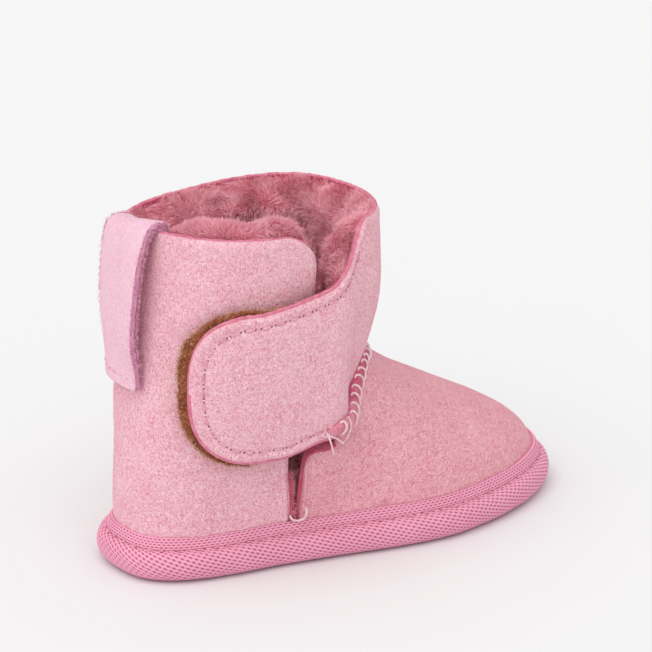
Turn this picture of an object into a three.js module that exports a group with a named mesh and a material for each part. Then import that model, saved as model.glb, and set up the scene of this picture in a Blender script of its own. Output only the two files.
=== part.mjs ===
// Baby bootie for a right foot: a suede and fleece shaft whose front runs on into a closing strap.
// Millimetres. +X points to the toe, +Y to the inner side of the foot, +Z up.
// The origin is under the middle of the sole, on the ground.
//
// The shaft is described in polar form about its own upright centre line: an angle in degrees,
// 0 at the toe, 90 on the inner side, 180 at the heel and -90 on the outer side, and a height.
import * as THREE from 'three';

// ---------------------------------------------------------------- driving dimensions
const SOLE = { length: 120, heelHalf: 23.6, ballHalf: 33.6, heelPower: 2.7, toePower: 2.27 };
const SOLE_BEND = { amount: -1.4, neutral: 0.13 }; // sideways sweep of the sole's centre line
const SOLE_WAIST = { from: -0.57, to: 0.36 }; // where the heel's width grows into the ball's
const SHAFT = { x: -20.7, y: -0.38, halfLength: 28.62, halfWidth: 25.73, power: 2.6 };
const SHAFT_FRONT_TAPER = { length: 2.5, width: 1.5 }; // how much slimmer the shaft is low down
const SHAFT_BULGE = 1.2;
const ANKLE = { height: 43, spread: 11, depth: 3.5, side: 84, front: 56 }; // the front of the ankle draws in
const RIM = { height: 80.58, slope: -0.81, tilt: -1.29, dip: 0.85 };
const RIM_HEEL = { angle: 152, spread: 40, depth: 2.9 }; // where the rim sinks beside the pull tab

const HIDE = 1.8; // thickness of the suede skin
const FLEECE = 7.4; // depth of the wool
const TOE_FLEECE = 5; // the wool is pressed thinner in the toe
const GAP = 0.3; // air left between neighbouring pieces
const THREAD = 0.35; // radius of the sewing thread

const HIDE_FOOT = 9; // height where the upper goes down behind the tape
const HIDE_INSET = 3.8; // the upper's foot, in from the sole's widest line
const FLEECE_FOOT = 12.9;

const SEAM = { low: 29.2, high: 45.5, flat: 38, side: 82, end: 93.6, corner: 4 };
const VAMP = { reach: 0.45, dropFront: 0.55, dropToe: 0.33, lean: 0.04 };

const STRAP = { hinge: -80, liftFrom: -58, liftTo: -88, lift: 5.1, bend: -120, tip: -149 };
const STRAP_END = { middle: 47.2, half: 18.5, power: 2.6 };
const STRAP_RISE = 3.4; // how much its lower edge climbs towards the hinge
const STRAP_SLOPE = 0.1; // how fast the strap's top edge climbs, in mm for each degree
const STRAP_SWEEP = { from: -92, over: 34.5, height: 8.05 }; // and how it runs up into the rim
const PAD = { front: -90, margin: 2, from: 1.6, to: 3.0, rise: 0.6 };
const PATCH = { front: -98, back: -126, low: 45, high: 65, from: 0.3, to: 1.3 };

const FLAP = { front: -96.8, lean: 9, back: -158, low: 11.5, fleeceLow: 14.3, corner: 8, arc: 33 };
const FLAP_SET_BACK = 5.2; // degrees that its front edge draws back, low down
const TAB = { middle: 170, halfAngle: 18, thickness: 1.5 };

const COLOUR = {
  suede: 0xe0a0b4,
  fleece: 0xd98a9c,
  tape: 0xd4679f,
  tab: 0xd793bd,
  pad: 0x8a5a3c,
  thread: 0xf2d5de,
  foam: 0xf0e8dc,
  patch: 0xe6c3cb,
};

// ---------------------------------------------------------------- small mathematics
const rad = THREE.MathUtils.degToRad;
const mix = THREE.MathUtils.lerp;
const smooth = (from, to, x) => THREE.MathUtils.smoothstep((x - from) / (to - from), 0, 1);

function signedPower(value, power) {
  return Math.sign(value) * Math.abs(value) ** power;
}

function superellipse(angle, halfX, halfY, power) {
  const across = Math.abs(Math.cos(rad(angle)) / halfX) ** power;
  const along = Math.abs(Math.sin(rad(angle)) / halfY) ** power;
  return (across + along) ** (-1 / power);
}

// ---------------------------------------------------------------- the sole's outline
function soleEdge(turn) {
  const c = Math.cos(turn);
  const power = 2 / (c < 0 ? SOLE.heelPower : SOLE.toePower);
  const X = signedPower(c, power);
  const half = mix(SOLE.heelHalf, SOLE.ballHalf, smooth(SOLE_WAIST.from, SOLE_WAIST.to, X));
  const sweep = SOLE_BEND.amount * (X * X - SOLE_BEND.neutral);
  return new THREE.Vector2((SOLE.length / 2) * X, half * signedPower(Math.sin(turn), power) + sweep);
}

function soleInset(turn, inset) {
  const step = 0.002;
  const along = soleEdge(turn + step).sub(soleEdge(turn - step)).normalize();
  return soleEdge(turn).add(new THREE.Vector2(-along.y, along.x).multiplyScalar(inset));
}

// The distance from the shaft's centre line to the upper's foot, as a function of the angle.
function footRadius() {
  const count = 720;
  const table = [];
  for (let i = 0; i < count; i += 1) {
    const p = soleInset(((i + 0.5) / count) * 2 * Math.PI, HIDE_INSET);
    const dx = p.x - SHAFT.x;
    const dy = p.y - SHAFT.y;
    table.push({ angle: THREE.MathUtils.radToDeg(Math.atan2(dy, dx)), radius: Math.hypot(dx, dy) });
  }
  table.sort((a, b) => a.angle - b.angle);
  table.unshift({ angle: table.at(-1).angle - 360, radius: table.at(-1).radius });
  table.push({ angle: table[1].angle + 360, radius: table[1].radius });
  return (angle) => {
    const wrapped = THREE.MathUtils.euclideanModulo(angle + 180, 360) - 180;
    const i = table.findIndex((entry) => entry.angle > wrapped);
    const [a, b] = [table[i - 1], table[i]];
    return mix(a.radius, b.radius, (wrapped - a.angle) / (b.angle - a.angle));
  };
}
const upperFoot = footRadius();

// ---------------------------------------------------------------- the shaft's outer surface
function rimHeight(angle) {
  const a = rad(angle);
  const away = THREE.MathUtils.euclideanModulo(angle - RIM_HEEL.angle + 180, 360) - 180;
  const sunk = RIM_HEEL.depth * Math.exp(-((away / RIM_HEEL.spread) ** 2));
  const level = RIM.height + RIM.slope * Math.cos(a) + RIM.tilt * Math.sin(a);
  return level + RIM.dip * Math.cos(2 * a) - sunk;
}

function shaftRadius(angle, z) {
  const low = superellipse(
    angle,
    SHAFT.halfLength - SHAFT_FRONT_TAPER.length,
    SHAFT.halfWidth - SHAFT_FRONT_TAPER.width,
    SHAFT.power,
  );
  const base = mix(upperFoot(angle), low, smooth(-0.1, 0.5, Math.cos(rad(angle))));
  const up = THREE.MathUtils.clamp((z - 10) / 70, 0, 1.1);
  const ease = 0.5 * up + 0.5 * up * up * (3 - 2 * up);
  const high = superellipse(angle, SHAFT.halfLength, SHAFT.halfWidth, SHAFT.power);
  const drawnIn = ANKLE.depth * Math.exp(-(((z - ANKLE.height) / ANKLE.spread) ** 2));
  const ankle = drawnIn * smooth(ANKLE.side, ANKLE.front, Math.abs(angle));
  return mix(base, high, ease) + SHAFT_BULGE * Math.sin(Math.PI * Math.min(up, 1)) - ankle;
}

function onShaft(angle, z, off = 0) {
  const r = shaftRadius(angle, z) + off;
  return new THREE.Vector3(SHAFT.x + r * Math.cos(rad(angle)), SHAFT.y + r * Math.sin(rad(angle)), z);
}

// The strap lifts off the shaft's surface on its way over the outer side.
function strapLift(angle) {
  return STRAP.lift * smooth(STRAP.liftFrom, STRAP.liftTo, angle);
}

// ---------------------------------------------------------------- seam lines and edges
// The throat seam: level round the front, low at the sides, then down the inner side to the sole.
function seamHeight(angle) {
  const side = Math.abs(angle);
  if (side < SEAM.side) {
    return mix(SEAM.low, SEAM.high, smooth(SEAM.side, SEAM.flat, side));
  }
  const along = Math.min((side - SEAM.side) / (SEAM.end - SEAM.side), 1);
  return mix(HIDE_FOOT, SEAM.low, (1 - along ** SEAM.corner) ** (1 / SEAM.corner));
}

const SEAM_CORNER = [SEAM.side, 87, 90.5, 92, SEAM.end - 0.6];

// Half the height of the strap's round end, for an edge that lies inset inside it.
function endHalf(angle, inset) {
  const perDegree = 0.5; // millimetres of arc
  const reach = STRAP.bend - STRAP.tip - inset / perDegree;
  const along = THREE.MathUtils.clamp((STRAP.bend - angle) / reach, 0, 1);
  return (STRAP_END.half - inset) * (1 - along ** STRAP_END.power) ** (1 / STRAP_END.power);
}

function strapTop(angle, inset = 0) {
  const rise = STRAP_SLOPE * Math.max(angle - STRAP.bend, 0);
  const along = Math.max(angle - STRAP_SWEEP.from, 0) / STRAP_SWEEP.over;
  const sweep = STRAP_SWEEP.height * along ** 2;
  return STRAP_END.middle + endHalf(angle, inset) + rise + sweep;
}

function strapBottom(angle, inset = 0) {
  return STRAP_END.middle - endHalf(angle, inset) + STRAP_RISE * smooth(-112, STRAP.hinge, angle);
}

// The fold line of the outer flap, from the slit's foot up to the rim beside the pull tab.
function foldHeight(angle, low) {
  const along = (FLAP.front - angle) / (FLAP.front - FLAP.back);
  return mix(low, rimHeight(FLAP.back) - 2, along);
}

// ---------------------------------------------------------------- building closed meshes
function solid(points, triangles) {
  let volume = 0;
  for (const [a, b, c] of triangles) {
    volume += points[a].dot(points[b].clone().cross(points[c]));
  }
  const index = triangles.flatMap(([a, b, c]) => (volume > 0 ? [a, b, c] : [a, c, b]));
  const geometry = new THREE.BufferGeometry().setFromPoints(points);
  geometry.setIndex(index);
  geometry.computeVertexNormals();
  return geometry;
}

function quads(rows, columns, at, triangles) {
  for (let i = 0; i < columns; i += 1) {
    for (let j = 0; j < rows; j += 1) {
      const [a, b, c, d] = [at(i, j), at(i + 1, j), at(i + 1, j + 1), at(i, j + 1)];
      triangles.push([a, b, c], [a, c, d]);
    }
  }
}

// A curved panel with thickness: place(u, v, side) gives its outer (0) and inner (1) faces.
function panel(us, rows, place) {
  const columns = us.length - 1;
  const points = [];
  for (const side of [0, 1]) {
    for (const u of us) {
      for (let j = 0; j <= rows; j += 1) {
        points.push(place(u, j / rows, side));
      }
    }
  }
  const inner = us.length * (rows + 1);
  const at = (i, j) => i * (rows + 1) + j;
  const triangles = [];
  quads(rows, columns, at, triangles);
  quads(rows, columns, (i, j) => inner + at(columns - i, j), triangles);
  quads(1, columns, (i, s) => at(columns - i, 0) + s * inner, triangles);
  quads(1, columns, (i, s) => at(i, rows) + s * inner, triangles);
  quads(1, rows, (j, s) => at(0, j) + s * inner, triangles);
  quads(1, rows, (j, s) => at(columns, rows - j) + s * inner, triangles);
  return solid(points, triangles);
}

// A ring or plate round the sole: each [inset, z] level is one loop of the outline.
function soleLoft(levels, count, closed) {
  const points = [];
  for (const [inset, z] of levels) {
    for (let i = 0; i < count; i += 1) {
      const p = soleInset((i / count) * 2 * Math.PI, inset);
      points.push(new THREE.Vector3(p.x, p.y, z));
    }
  }
  const at = (i, j) => (j % levels.length) * count + (i % count);
  const triangles = [];
  quads(closed ? levels.length : levels.length - 1, count, at, triangles);
  if (!closed) {
    const top = levels.length - 1;
    for (let i = 1; i < count - 1; i += 1) {
      triangles.push([at(0, 0), at(i + 1, 0), at(i, 0)]);
      triangles.push([at(0, top), at(i, top), at(i + 1, top)]);
    }
  }
  return solid(points, triangles);
}

// A cord of sewing thread along a list of points.
function threadAlong(points, steps, radius = THREAD, closed = false) {
  const sides = 5;
  const section = new THREE.Shape();
  for (let i = 0; i < sides; i += 1) {
    const a = (i / sides) * 2 * Math.PI;
    const corner = [radius * Math.cos(a), radius * Math.sin(a)];
    if (i === 0) {
      section.moveTo(...corner);
    } else {
      section.lineTo(...corner);
    }
  }
  const path = new THREE.CatmullRomCurve3(points, closed, 'centripetal');
  return new THREE.ExtrudeGeometry(section, { steps, extrudePath: path });
}

// Angles from one to another, evenly spaced.
function spread(from, to, count) {
  return Array.from({ length: count + 1 }, (_, i) => mix(from, to, i / count));
}

const bootie = new THREE.Group();

function add(name, geometry, colour, roughness = 0.95) {
  const material = new THREE.MeshStandardMaterial({ color: colour, roughness, metalness: 0 });
  const mesh = new THREE.Mesh(geometry, material);
  mesh.name = name;
  bootie.add(mesh);
}

// ---------------------------------------------------------------- sole
function addSole() {
  const outsole = [
    [6.2, 0],
    [6.2, 1.4],
  ];
  const foam = [
    [4.3, 1.75],
    [2.0, 3.4],
    [1.7, 4.8],
    [2.9, 7.4],
    [3.9, 8.6],
  ];
  const insole = [
    [6.4, 8.9],
    [7.4, 11.2],
    [9.8, 12.5],
  ];
  const tape = [
    [3.0, 10.0],
    [2.1, 8.5],
    [0.7, 7.0],
    [0, 4.5],
    [0.5, 2.2],
    [2.2, 0.5],
    [5.8, 0.15],
    [5.8, 1.35],
    [2.8, 1.7],
    [1.35, 4.5],
    [2.2, 7.3],
    [3.5, 8.9],
    [3.5, 10.0],
  ];
  add('outsole', soleLoft(outsole, 56, false), COLOUR.suede);
  add('midsole_foam', soleLoft(foam, 56, false), COLOUR.foam);
  add('insole_fleece', soleLoft(insole, 48, false), COLOUR.fleece);
  add('rand_tape', soleLoft(tape, 64, true), COLOUR.tape, 0.8);
}

function addRandStitch() {
  const [inset, z, half] = [1.6, 9.0, 0.3];
  const square = [
    [inset - half, z - half],
    [inset - half, z + half],
    [inset + half, z + half],
    [inset + half, z - half],
  ];
  add('rand_stitch', soleLoft(square, 64, true), COLOUR.thread);
}

// ---------------------------------------------------------------- vamp
// Each ray from the shaft's centre line is one curve, from the throat seam down to the sole.
function vampPoint(angle, along) {
  const out = new THREE.Vector3(Math.cos(rad(angle)), Math.sin(rad(angle)), 0);
  const start = onShaft(angle, seamHeight(angle) - GAP / 2);
  const foot = upperFoot(angle);
  const end = new THREE.Vector3(SHAFT.x, SHAFT.y, HIDE_FOOT).addScaledVector(out, foot);
  const reach = Math.max(end.clone().sub(start).dot(out), 0);
  const drop = start.z - HIDE_FOOT;
  const fromThroat = start.clone().addScaledVector(out, VAMP.reach * reach);
  fromThroat.z -= VAMP.dropFront * drop;
  const fromSole = end.clone().addScaledVector(out, -VAMP.lean * reach);
  fromSole.z += VAMP.dropToe * drop;
  return new THREE.CubicBezierCurve3(start, fromThroat, fromSole, end).getPoint(along);
}

function vampOffset(angle, along, depth) {
  const step = 0.01;
  const inner = THREE.MathUtils.clamp(angle, -88, 88);
  const across = vampPoint(inner + 1, along).sub(vampPoint(inner - 1, along));
  const a = Math.max(along - step, 0);
  const down = vampPoint(inner, a + step).sub(vampPoint(inner, a));
  const normal = down.cross(across).normalize();
  return vampPoint(angle, along).addScaledVector(normal, -depth);
}

// How far along the ray the vamp has come down to a height.
function vampAt(angle, z) {
  let [low, high] = [0, 1];
  for (let i = 0; i < 20; i += 1) {
    const middle = (low + high) / 2;
    if (vampPoint(angle, middle).z > z) {
      low = middle;
    } else {
      high = middle;
    }
  }
  return low;
}

function addVamp() {
  const angles = [-1, 1].flatMap((sign) => {
    const half = [...spread(0, 40, 7), ...spread(50, 74, 3), ...SEAM_CORNER];
    return sign < 0 ? half.reverse().map((a) => -a) : half.slice(1);
  });
  add(
    'vamp_hide',
    panel(angles, 8, (a, v, s) => vampOffset(a, v, s * HIDE)),
    COLOUR.suede,
  );
  const inside = angles.filter((a) => Math.abs(a) < 89);
  const place = (a, v, s) => {
    const last = vampAt(a, FLEECE_FOOT + 0.6);
    const depth = HIDE + 2.5 * GAP + s * mix(FLEECE - 1.4, TOE_FLEECE, v);
    const p = vampOffset(a, v * last, depth);
    p.z = Math.max(p.z, FLEECE_FOOT + 0.1 * (1 - v));
    return p;
  };
  add('vamp_fleece', panel(inside, 7, place), COLOUR.fleece);
}

// ---------------------------------------------------------------- shaft
// Angles grow from the strap's root, over the front and the inner side, round the heel to the slit.
const HEEL_TURN = 360;

function shaftTop(angle, foldLow) {
  if (angle > HEEL_TURN + FLAP.back) {
    return foldHeight(angle - HEEL_TURN, foldLow) - GAP;
  }
  return angle < -40 ? Math.min(rimHeight(angle), strapTop(angle)) : rimHeight(angle);
}

function shaftBottom(angle, foot, clearance) {
  if (angle >= SEAM.end + clearance) {
    return foot;
  }
  const low = angle < -40 ? Math.max(seamHeight(angle), strapBottom(angle)) : seamHeight(angle);
  return low + GAP / 2 + clearance;
}

function shaftAngles(clearance) {
  const slit = HEEL_TURN + FLAP.front;
  const fold = HEEL_TURN + FLAP.back;
  return [
    ...spread(STRAP.hinge + 0.5, -38, 5),
    ...spread(-26, 74, 9),
    ...SEAM_CORNER,
    SEAM.end + clearance,
    ...spread(104, fold - 0.5, 11),
    ...spread(fold + 0.5, slit, 7),
  ];
}

function addShaft() {
  const hide = (a, v, s) => {
    const z = mix(shaftBottom(a, HIDE_FOOT, 0.1), shaftTop(a, FLAP.low), v);
    const lift = a < 0 ? strapLift(a) : 0;
    return onShaft(a, z, lift - s * HIDE);
  };
  add('shaft_hide', panel(shaftAngles(0.1), 6, hide), COLOUR.suede);

  const tabDepth = TAB.thickness + GAP;
  const fleece = (a, v, s) => {
    const top = shaftTop(a, FLAP.fleeceLow) - (a > HEEL_TURN + FLAP.back ? 0.6 : 1);
    const z = mix(shaftBottom(a, FLEECE_FOOT, 1.1), top, v);
    const atTab = smooth(34, 22, Math.abs(a - TAB.middle)) * smooth(58, 66, z);
    return onShaft(a, z, -HIDE - 2 * GAP - mix(tabDepth * atTab, FLEECE, s));
  };
  add('shaft_fleece', panel(shaftAngles(1.1), 5, fleece), COLOUR.fleece);
}

// ---------------------------------------------------------------- outer flap
// The flap's front edge leans towards the toe as it rises, and its upper corner is round.
function flapPoint(u, v, inset, off, low) {
  const angleAt = (z) => {
    const lean = (FLAP.lean * (z - HIDE_FOOT)) / (RIM.height - HIDE_FOOT);
    const back = FLAP_SET_BACK * smooth(10, 28, z) * smooth(62, 34, z);
    return mix(FLAP.front + lean - back - inset, FLAP.back - 0.3, u);
  };
  let bottom = low;
  for (let i = 0; i < 8; i += 1) {
    bottom = foldHeight(angleAt(bottom), low) + GAP;
  }
  const fromEdge = Math.max(1 - (u * FLAP.arc) / FLAP.corner, 0);
  const rounding = FLAP.corner * (1 - Math.sqrt(1 - fromEdge ** 2));
  const top = rimHeight(angleAt(RIM.height)) - rounding - (inset > 0 ? 1 : 0);
  const z = mix(bottom, Math.max(top, bottom + 0.4), v);
  return onShaft(angleAt(z), z, off);
}

function addSideFlap() {
  const us = [0, 0.04, 0.1, 0.17, 0.25, 0.4, 0.55, 0.7, 0.85, 0.95];
  const fleece = (u, v, s) => flapPoint(u, v, 1.5, -HIDE - 2 * GAP - s * FLEECE, FLAP.fleeceLow);
  add(
    'side_flap_hide',
    panel(us, 6, (u, v, s) => flapPoint(u, v, 0, -s * HIDE, FLAP.low)),
    COLOUR.suede,
  );
  add(
    'side_flap_fleece',
    panel(us.slice(0, -1), 5, fleece),
    COLOUR.fleece,
  );
}

function addClosurePatch() {
  const place = (a, v, s) => onShaft(a, mix(PATCH.low, PATCH.high, v), s ? PATCH.from : PATCH.to);
  add('closure_patch', panel(spread(PATCH.front, PATCH.back, 6), 3, place), COLOUR.patch);
}

// ---------------------------------------------------------------- strap
// Angles that close up towards the round tip.
function strapAngles(from, inset, count) {
  const tip = STRAP.tip + inset * 2;
  const straight = spread(from, STRAP.bend, count);
  const round = [18, 36, 52, 66, 78, 87].map((a) => mix(STRAP.bend, tip, Math.sin(rad(a))));
  return [...straight, ...round];
}

function addStrap() {
  const hide = (a, v, s) => onShaft(a, mix(strapBottom(a), strapTop(a), v), strapLift(a) - s * HIDE);
  add('strap_hide', panel(strapAngles(STRAP.hinge, 0, 8), 6, hide), COLOUR.suede);

  const pad = (a, v, s) => {
    const low = strapBottom(a, -PAD.margin) + 2 * PAD.rise;
    const high = strapTop(a, -PAD.margin) + PAD.rise;
    return onShaft(a, mix(low, high, v), s ? PAD.from : PAD.to);
  };
  add('strap_grip_pad', panel(strapAngles(PAD.front, -PAD.margin, 6), 5, pad), COLOUR.pad);
}

function addStrapStitch() {
  const inset = 3;
  const height = GAP + THREAD;
  const angles = strapAngles(STRAP.hinge - 1.5, inset, 7);
  const along = (a, z) => onShaft(a, z, strapLift(a) + height);
  const top = angles.map((a) => along(a, strapTop(a, inset)));
  const bottom = angles.map((a) => along(a, strapBottom(a, inset)));
  const path = [...top, ...bottom.slice(0, -1).reverse()];
  add('strap_edge_stitch', threadAlong(path, 54), COLOUR.thread);
}

// ---------------------------------------------------------------- seams of the upper
// Whip stitches: the thread goes over the seam, a little way along it and back again.
function whipStitch(from, to, turns, low, high) {
  const pitch = (to - from) / turns;
  return spread(from, to - pitch, turns - 1).flatMap((a) => [
    low(a),
    high(a),
    high(a + pitch / 2),
    low(a + pitch / 2),
  ]);
}

function addThroatStitch() {
  const [reach, height, last, turns] = [1.9, 1.1, 79, 24];
  const lift = (a) => (a < 0 ? strapLift(a) : 0);
  const low = (a) => vampOffset(a, reach / 40, -height - 0.85 * lift(a));
  const high = (a) => onShaft(a, seamHeight(a) + reach, lift(a) + height);
  const points = whipStitch(STRAP.hinge + 5, last, turns, low, high);
  add('throat_whip_stitch', threadAlong(points, 12 * turns), COLOUR.thread);
}

function addSideStitch() {
  const [reach, height, turns] = [1.8, 1.0, 4];
  const half = THREE.MathUtils.radToDeg(reach) / upperFoot(SEAM.end);
  const at = (side) => (z) => onShaft(SEAM.end - 0.5 + side * half, z, height);
  const points = whipStitch(25, 13, turns, at(-1), at(1));
  add('vamp_side_stitch', threadAlong(points, 12 * turns), COLOUR.thread);
}

function addThreadTails() {
  const angle = STRAP.hinge + 1;
  const off = strapLift(angle) + 1.1;
  const path = [
    onShaft(angle + 3, 25.6, off + 0.6),
    onShaft(angle + 1.5, 27.6, off + 0.3),
    onShaft(angle, 30.6, off),
    onShaft(angle - 3, 28.6, off + 0.4),
    onShaft(angle - 5, 25.2, off + 0.6),
  ];
  add('thread_tails', threadAlong(path, 14), COLOUR.thread);
}

function addSlitTack() {
  const place = (a, v, s) => onShaft(a, mix(11, 12, v), s ? 0.35 : 0.95);
  add('slit_bar_tack', panel(spread(-91.5, -99, 4), 1, place), COLOUR.thread);
}

// ---------------------------------------------------------------- pull tab
// The tab's middle line, as [distance off the shaft, height]: up the heel, over the rim, inside.
function tabLine() {
  const rim = rimHeight(TAB.middle);
  const half = TAB.thickness / 2;
  return new THREE.SplineCurve(
    [
      [GAP + half, 45],
      [1.6, 48.5],
      [2.9, 57],
      [3.2, 67],
      [2.7, 77],
      [1.6, rim + 0.8],
      [-0.9, rim + 1.4],
      [-HIDE - GAP - half, rim - 0.4],
      [-HIDE - GAP - half, 70],
    ].map(([off, z]) => new THREE.Vector2(off, z)),
  );
}

function addPullTab() {
  const line = tabLine();
  const place = (u, v, s) => {
    const p = line.getPoint(u);
    const along = line.getTangent(u);
    const side = (s ? -0.5 : 0.5) * TAB.thickness;
    const angle = mix(TAB.middle - TAB.halfAngle, TAB.middle + TAB.halfAngle, v);
    const z = p.y - side * along.x;
    const tilt = (rimHeight(angle) - rimHeight(TAB.middle)) * smooth(55, 76, z);
    return onShaft(angle, z + tilt, p.x + side * along.y);
  };
  add('pull_tab', panel(spread(0, 1, 32), 4, place), COLOUR.tab, 0.9);

  const turns = 6;
  const half = TAB.halfAngle - 3;
  const points = spread(TAB.middle - half, TAB.middle + half, 2 * turns).map((angle, i) =>
    onShaft(angle, i % 2 === 0 ? 46.2 : 48.2, i % 2 === 0 ? 2.9 : 3.3),
  );
  add('pull_tab_stitch', threadAlong(points, 3 * turns), COLOUR.thread);
}

addSole();
addRandStitch();
addVamp();
addShaft();
addSideFlap();
addClosurePatch();
addStrap();
addStrapStitch();
addThroatStitch();
addSideStitch();
addThreadTails();
addSlitTack();
addPullTab();

export default bootie;
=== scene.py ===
import math

import bpy
import numpy as np
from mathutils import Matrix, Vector


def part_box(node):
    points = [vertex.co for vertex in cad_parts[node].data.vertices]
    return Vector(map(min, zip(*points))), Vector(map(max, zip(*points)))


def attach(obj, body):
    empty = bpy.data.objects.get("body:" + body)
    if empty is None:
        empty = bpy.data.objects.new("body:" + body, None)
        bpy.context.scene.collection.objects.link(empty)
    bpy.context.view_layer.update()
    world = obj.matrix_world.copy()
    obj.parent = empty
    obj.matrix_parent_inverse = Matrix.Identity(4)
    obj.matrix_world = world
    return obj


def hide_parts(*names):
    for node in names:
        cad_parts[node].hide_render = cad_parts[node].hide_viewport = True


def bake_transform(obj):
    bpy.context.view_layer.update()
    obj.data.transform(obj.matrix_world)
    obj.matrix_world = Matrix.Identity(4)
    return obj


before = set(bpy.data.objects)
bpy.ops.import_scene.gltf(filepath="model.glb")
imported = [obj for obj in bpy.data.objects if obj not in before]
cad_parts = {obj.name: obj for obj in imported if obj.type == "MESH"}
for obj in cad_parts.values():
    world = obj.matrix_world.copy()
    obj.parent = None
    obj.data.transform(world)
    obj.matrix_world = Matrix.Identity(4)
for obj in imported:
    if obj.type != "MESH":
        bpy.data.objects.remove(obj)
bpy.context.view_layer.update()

tape_low, tape_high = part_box("rand_tape")

# ---- driving dimensions, mm
SOLE_LENGTH = (tape_high.x - tape_low.x) * 1000
HEEL_HALF, BALL_HALF = 23.6, 33.6
HEEL_POWER, TOE_POWER = 2.7, 2.27
BEND, BEND_NEUTRAL = -1.4, 0.13
WAIST = (-0.57, 0.36)
SHAFT_X, SHAFT_Y = -20.7, -0.38
SHAFT_LENGTH, SHAFT_WIDTH, SHAFT_POWER = 28.62, 25.73, 2.6
FRONT_TAPER, SIDE_TAPER, BULGE = 2.5, 1.5, 1.2
ANKLE, ANKLE_SPREAD, ANKLE_DEPTH, ANKLE_SIDE, ANKLE_FRONT = 43, 11, 3.5, 84, 56
RIM, RIM_SLOPE, RIM_TILT, RIM_DIP = 80.58, -0.81, -1.29, 0.85
SUNK_AT, SUNK_SPREAD, SUNK = 152, 40, 2.9  # where the rim sinks beside the pull tab
HIDE = 1.8
FOOT, FOOT_INSET = 9.0, 3.8
SEAM_LOW, SEAM_HIGH, SEAM_FLAT, SEAM_SIDE, SEAM_END = 29.2, 45.5, 38, 82, 93.6
HINGE, STRAP_LIFT, LIFT_FROM, LIFT_TO = -80, 5.1, -58, -88
STRAP_BEND, STRAP_TIP, STRAP_MIDDLE, STRAP_HALF, STRAP_POWER = -120, -149, 47.2, 18.5, 2.6
STRAP_RISE = 3.4
STRAP_SLOPE, SWEEP_FROM, SWEEP_OVER, SWEEP = 0.1, -92, 34.5, 8.05
ARC = 0.5  # millimetres of the shaft's surface in a degree
SLIT, SLIT_LEAN, SLIT_BACK, FLAP_CORNER = -98.4, 10.6, 5.6, 10.0
TAB_MIDDLE, TAB_HALF, TAB_THICK = 170, 18, 2.0
PART_SEAM = 100  # where the front strip of hide meets the heel strip


# ---- small mathematics
def smooth(start, end, x):
    t = np.clip((x - start) / (end - start), 0, 1)
    return t * t * (3 - 2 * t)


def mix(a, b, t):
    return a + (b - a) * t


def signed_power(value, power):
    return np.sign(value) * np.abs(value) ** power


def unit(v):
    return v / np.maximum(np.linalg.norm(v, axis=-1, keepdims=True), 1e-9)


def distances(points):
    """How far along a line each of its points is."""
    return np.concatenate([[0], np.cumsum(np.linalg.norm(np.diff(points, axis=0), axis=1))])


def superellipse(angle, half_x, half_y, power):
    a = np.radians(angle)
    return (np.abs(np.cos(a) / half_x) ** power + np.abs(np.sin(a) / half_y) ** power) ** (-1 / power)


def noise(points, size, seed):
    """Smooth noise from -1 to 1 over points in mm, with bumps about that size."""
    q = np.asarray(points, float) / size
    cell = np.floor(q).astype(np.int64)
    f = q - cell
    f = f * f * (3 - 2 * f)
    total = np.zeros(q.shape[:-1])
    for corner in np.ndindex(2, 2, 2):
        c = cell + np.array(corner)
        h = (c[..., 0] * 73856093) ^ (c[..., 1] * 19349663) ^ (c[..., 2] * 83492791) ^ (seed * 6542989)
        h = ((h & 0xFFFFFFFF) * 1274126177) & 0xFFFFFFFF
        h = ((h ^ (h >> 15)) * 2246822519) & 0xFFFFFFFF
        weight = np.prod(np.where(np.array(corner) == 1, f, 1 - f), axis=-1)
        total += weight * ((h ^ (h >> 13)) / 2147483648.0 - 1)
    return total


def eased(count, amount=0.55):
    """Steps from 0 to 1 that are closer together at both ends."""
    t = np.linspace(0, 1, count)
    return mix(t, 0.5 - 0.5 * np.cos(np.pi * t), amount)


# ---- the sole's outline
def sole_edge(turn):
    c, s = np.cos(turn), np.sin(turn)
    power = 2 / np.where(c < 0, HEEL_POWER, TOE_POWER)
    x = signed_power(c, power)
    half = mix(HEEL_HALF, BALL_HALF, smooth(*WAIST, x))
    y = half * signed_power(s, power) + BEND * (x * x - BEND_NEUTRAL)
    return np.stack([SOLE_LENGTH / 2 * x, y], -1)


def even_turns(count):
    """Turns round the sole, evenly spaced along its edge, and the edge's length."""
    turns = np.linspace(0, 2 * np.pi, 8001)
    edge = sole_edge(turns)
    length = distances(edge)
    return np.interp(np.arange(count) / count * length[-1], length, turns), length[-1]


def sole_inset(turn, inset):
    along = unit(sole_edge(turn + 0.002) - sole_edge(turn - 0.002))
    return sole_edge(turn) + np.stack([-along[..., 1], along[..., 0]], -1) * np.asarray(inset)[..., None]


_foot = sole_inset(np.linspace(0, 2 * np.pi, 2881)[:-1], FOOT_INSET) - [SHAFT_X, SHAFT_Y]
_foot_angle = np.degrees(np.arctan2(_foot[:, 1], _foot[:, 0]))
_foot_order = np.argsort(_foot_angle)
_foot_angle, _foot_reach = _foot_angle[_foot_order], np.hypot(_foot[:, 0], _foot[:, 1])[_foot_order]


def upper_foot(angle):
    return np.interp(angle, _foot_angle, _foot_reach, period=360)


# ---- the shaft's outer surface
def rim_height(angle):
    a = np.radians(angle)
    away = (np.asarray(angle) - SUNK_AT + 180) % 360 - 180
    sunk = SUNK * np.exp(-((away / SUNK_SPREAD) ** 2))
    return RIM + RIM_SLOPE * np.cos(a) + RIM_TILT * np.sin(a) + RIM_DIP * np.cos(2 * a) - sunk


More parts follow.
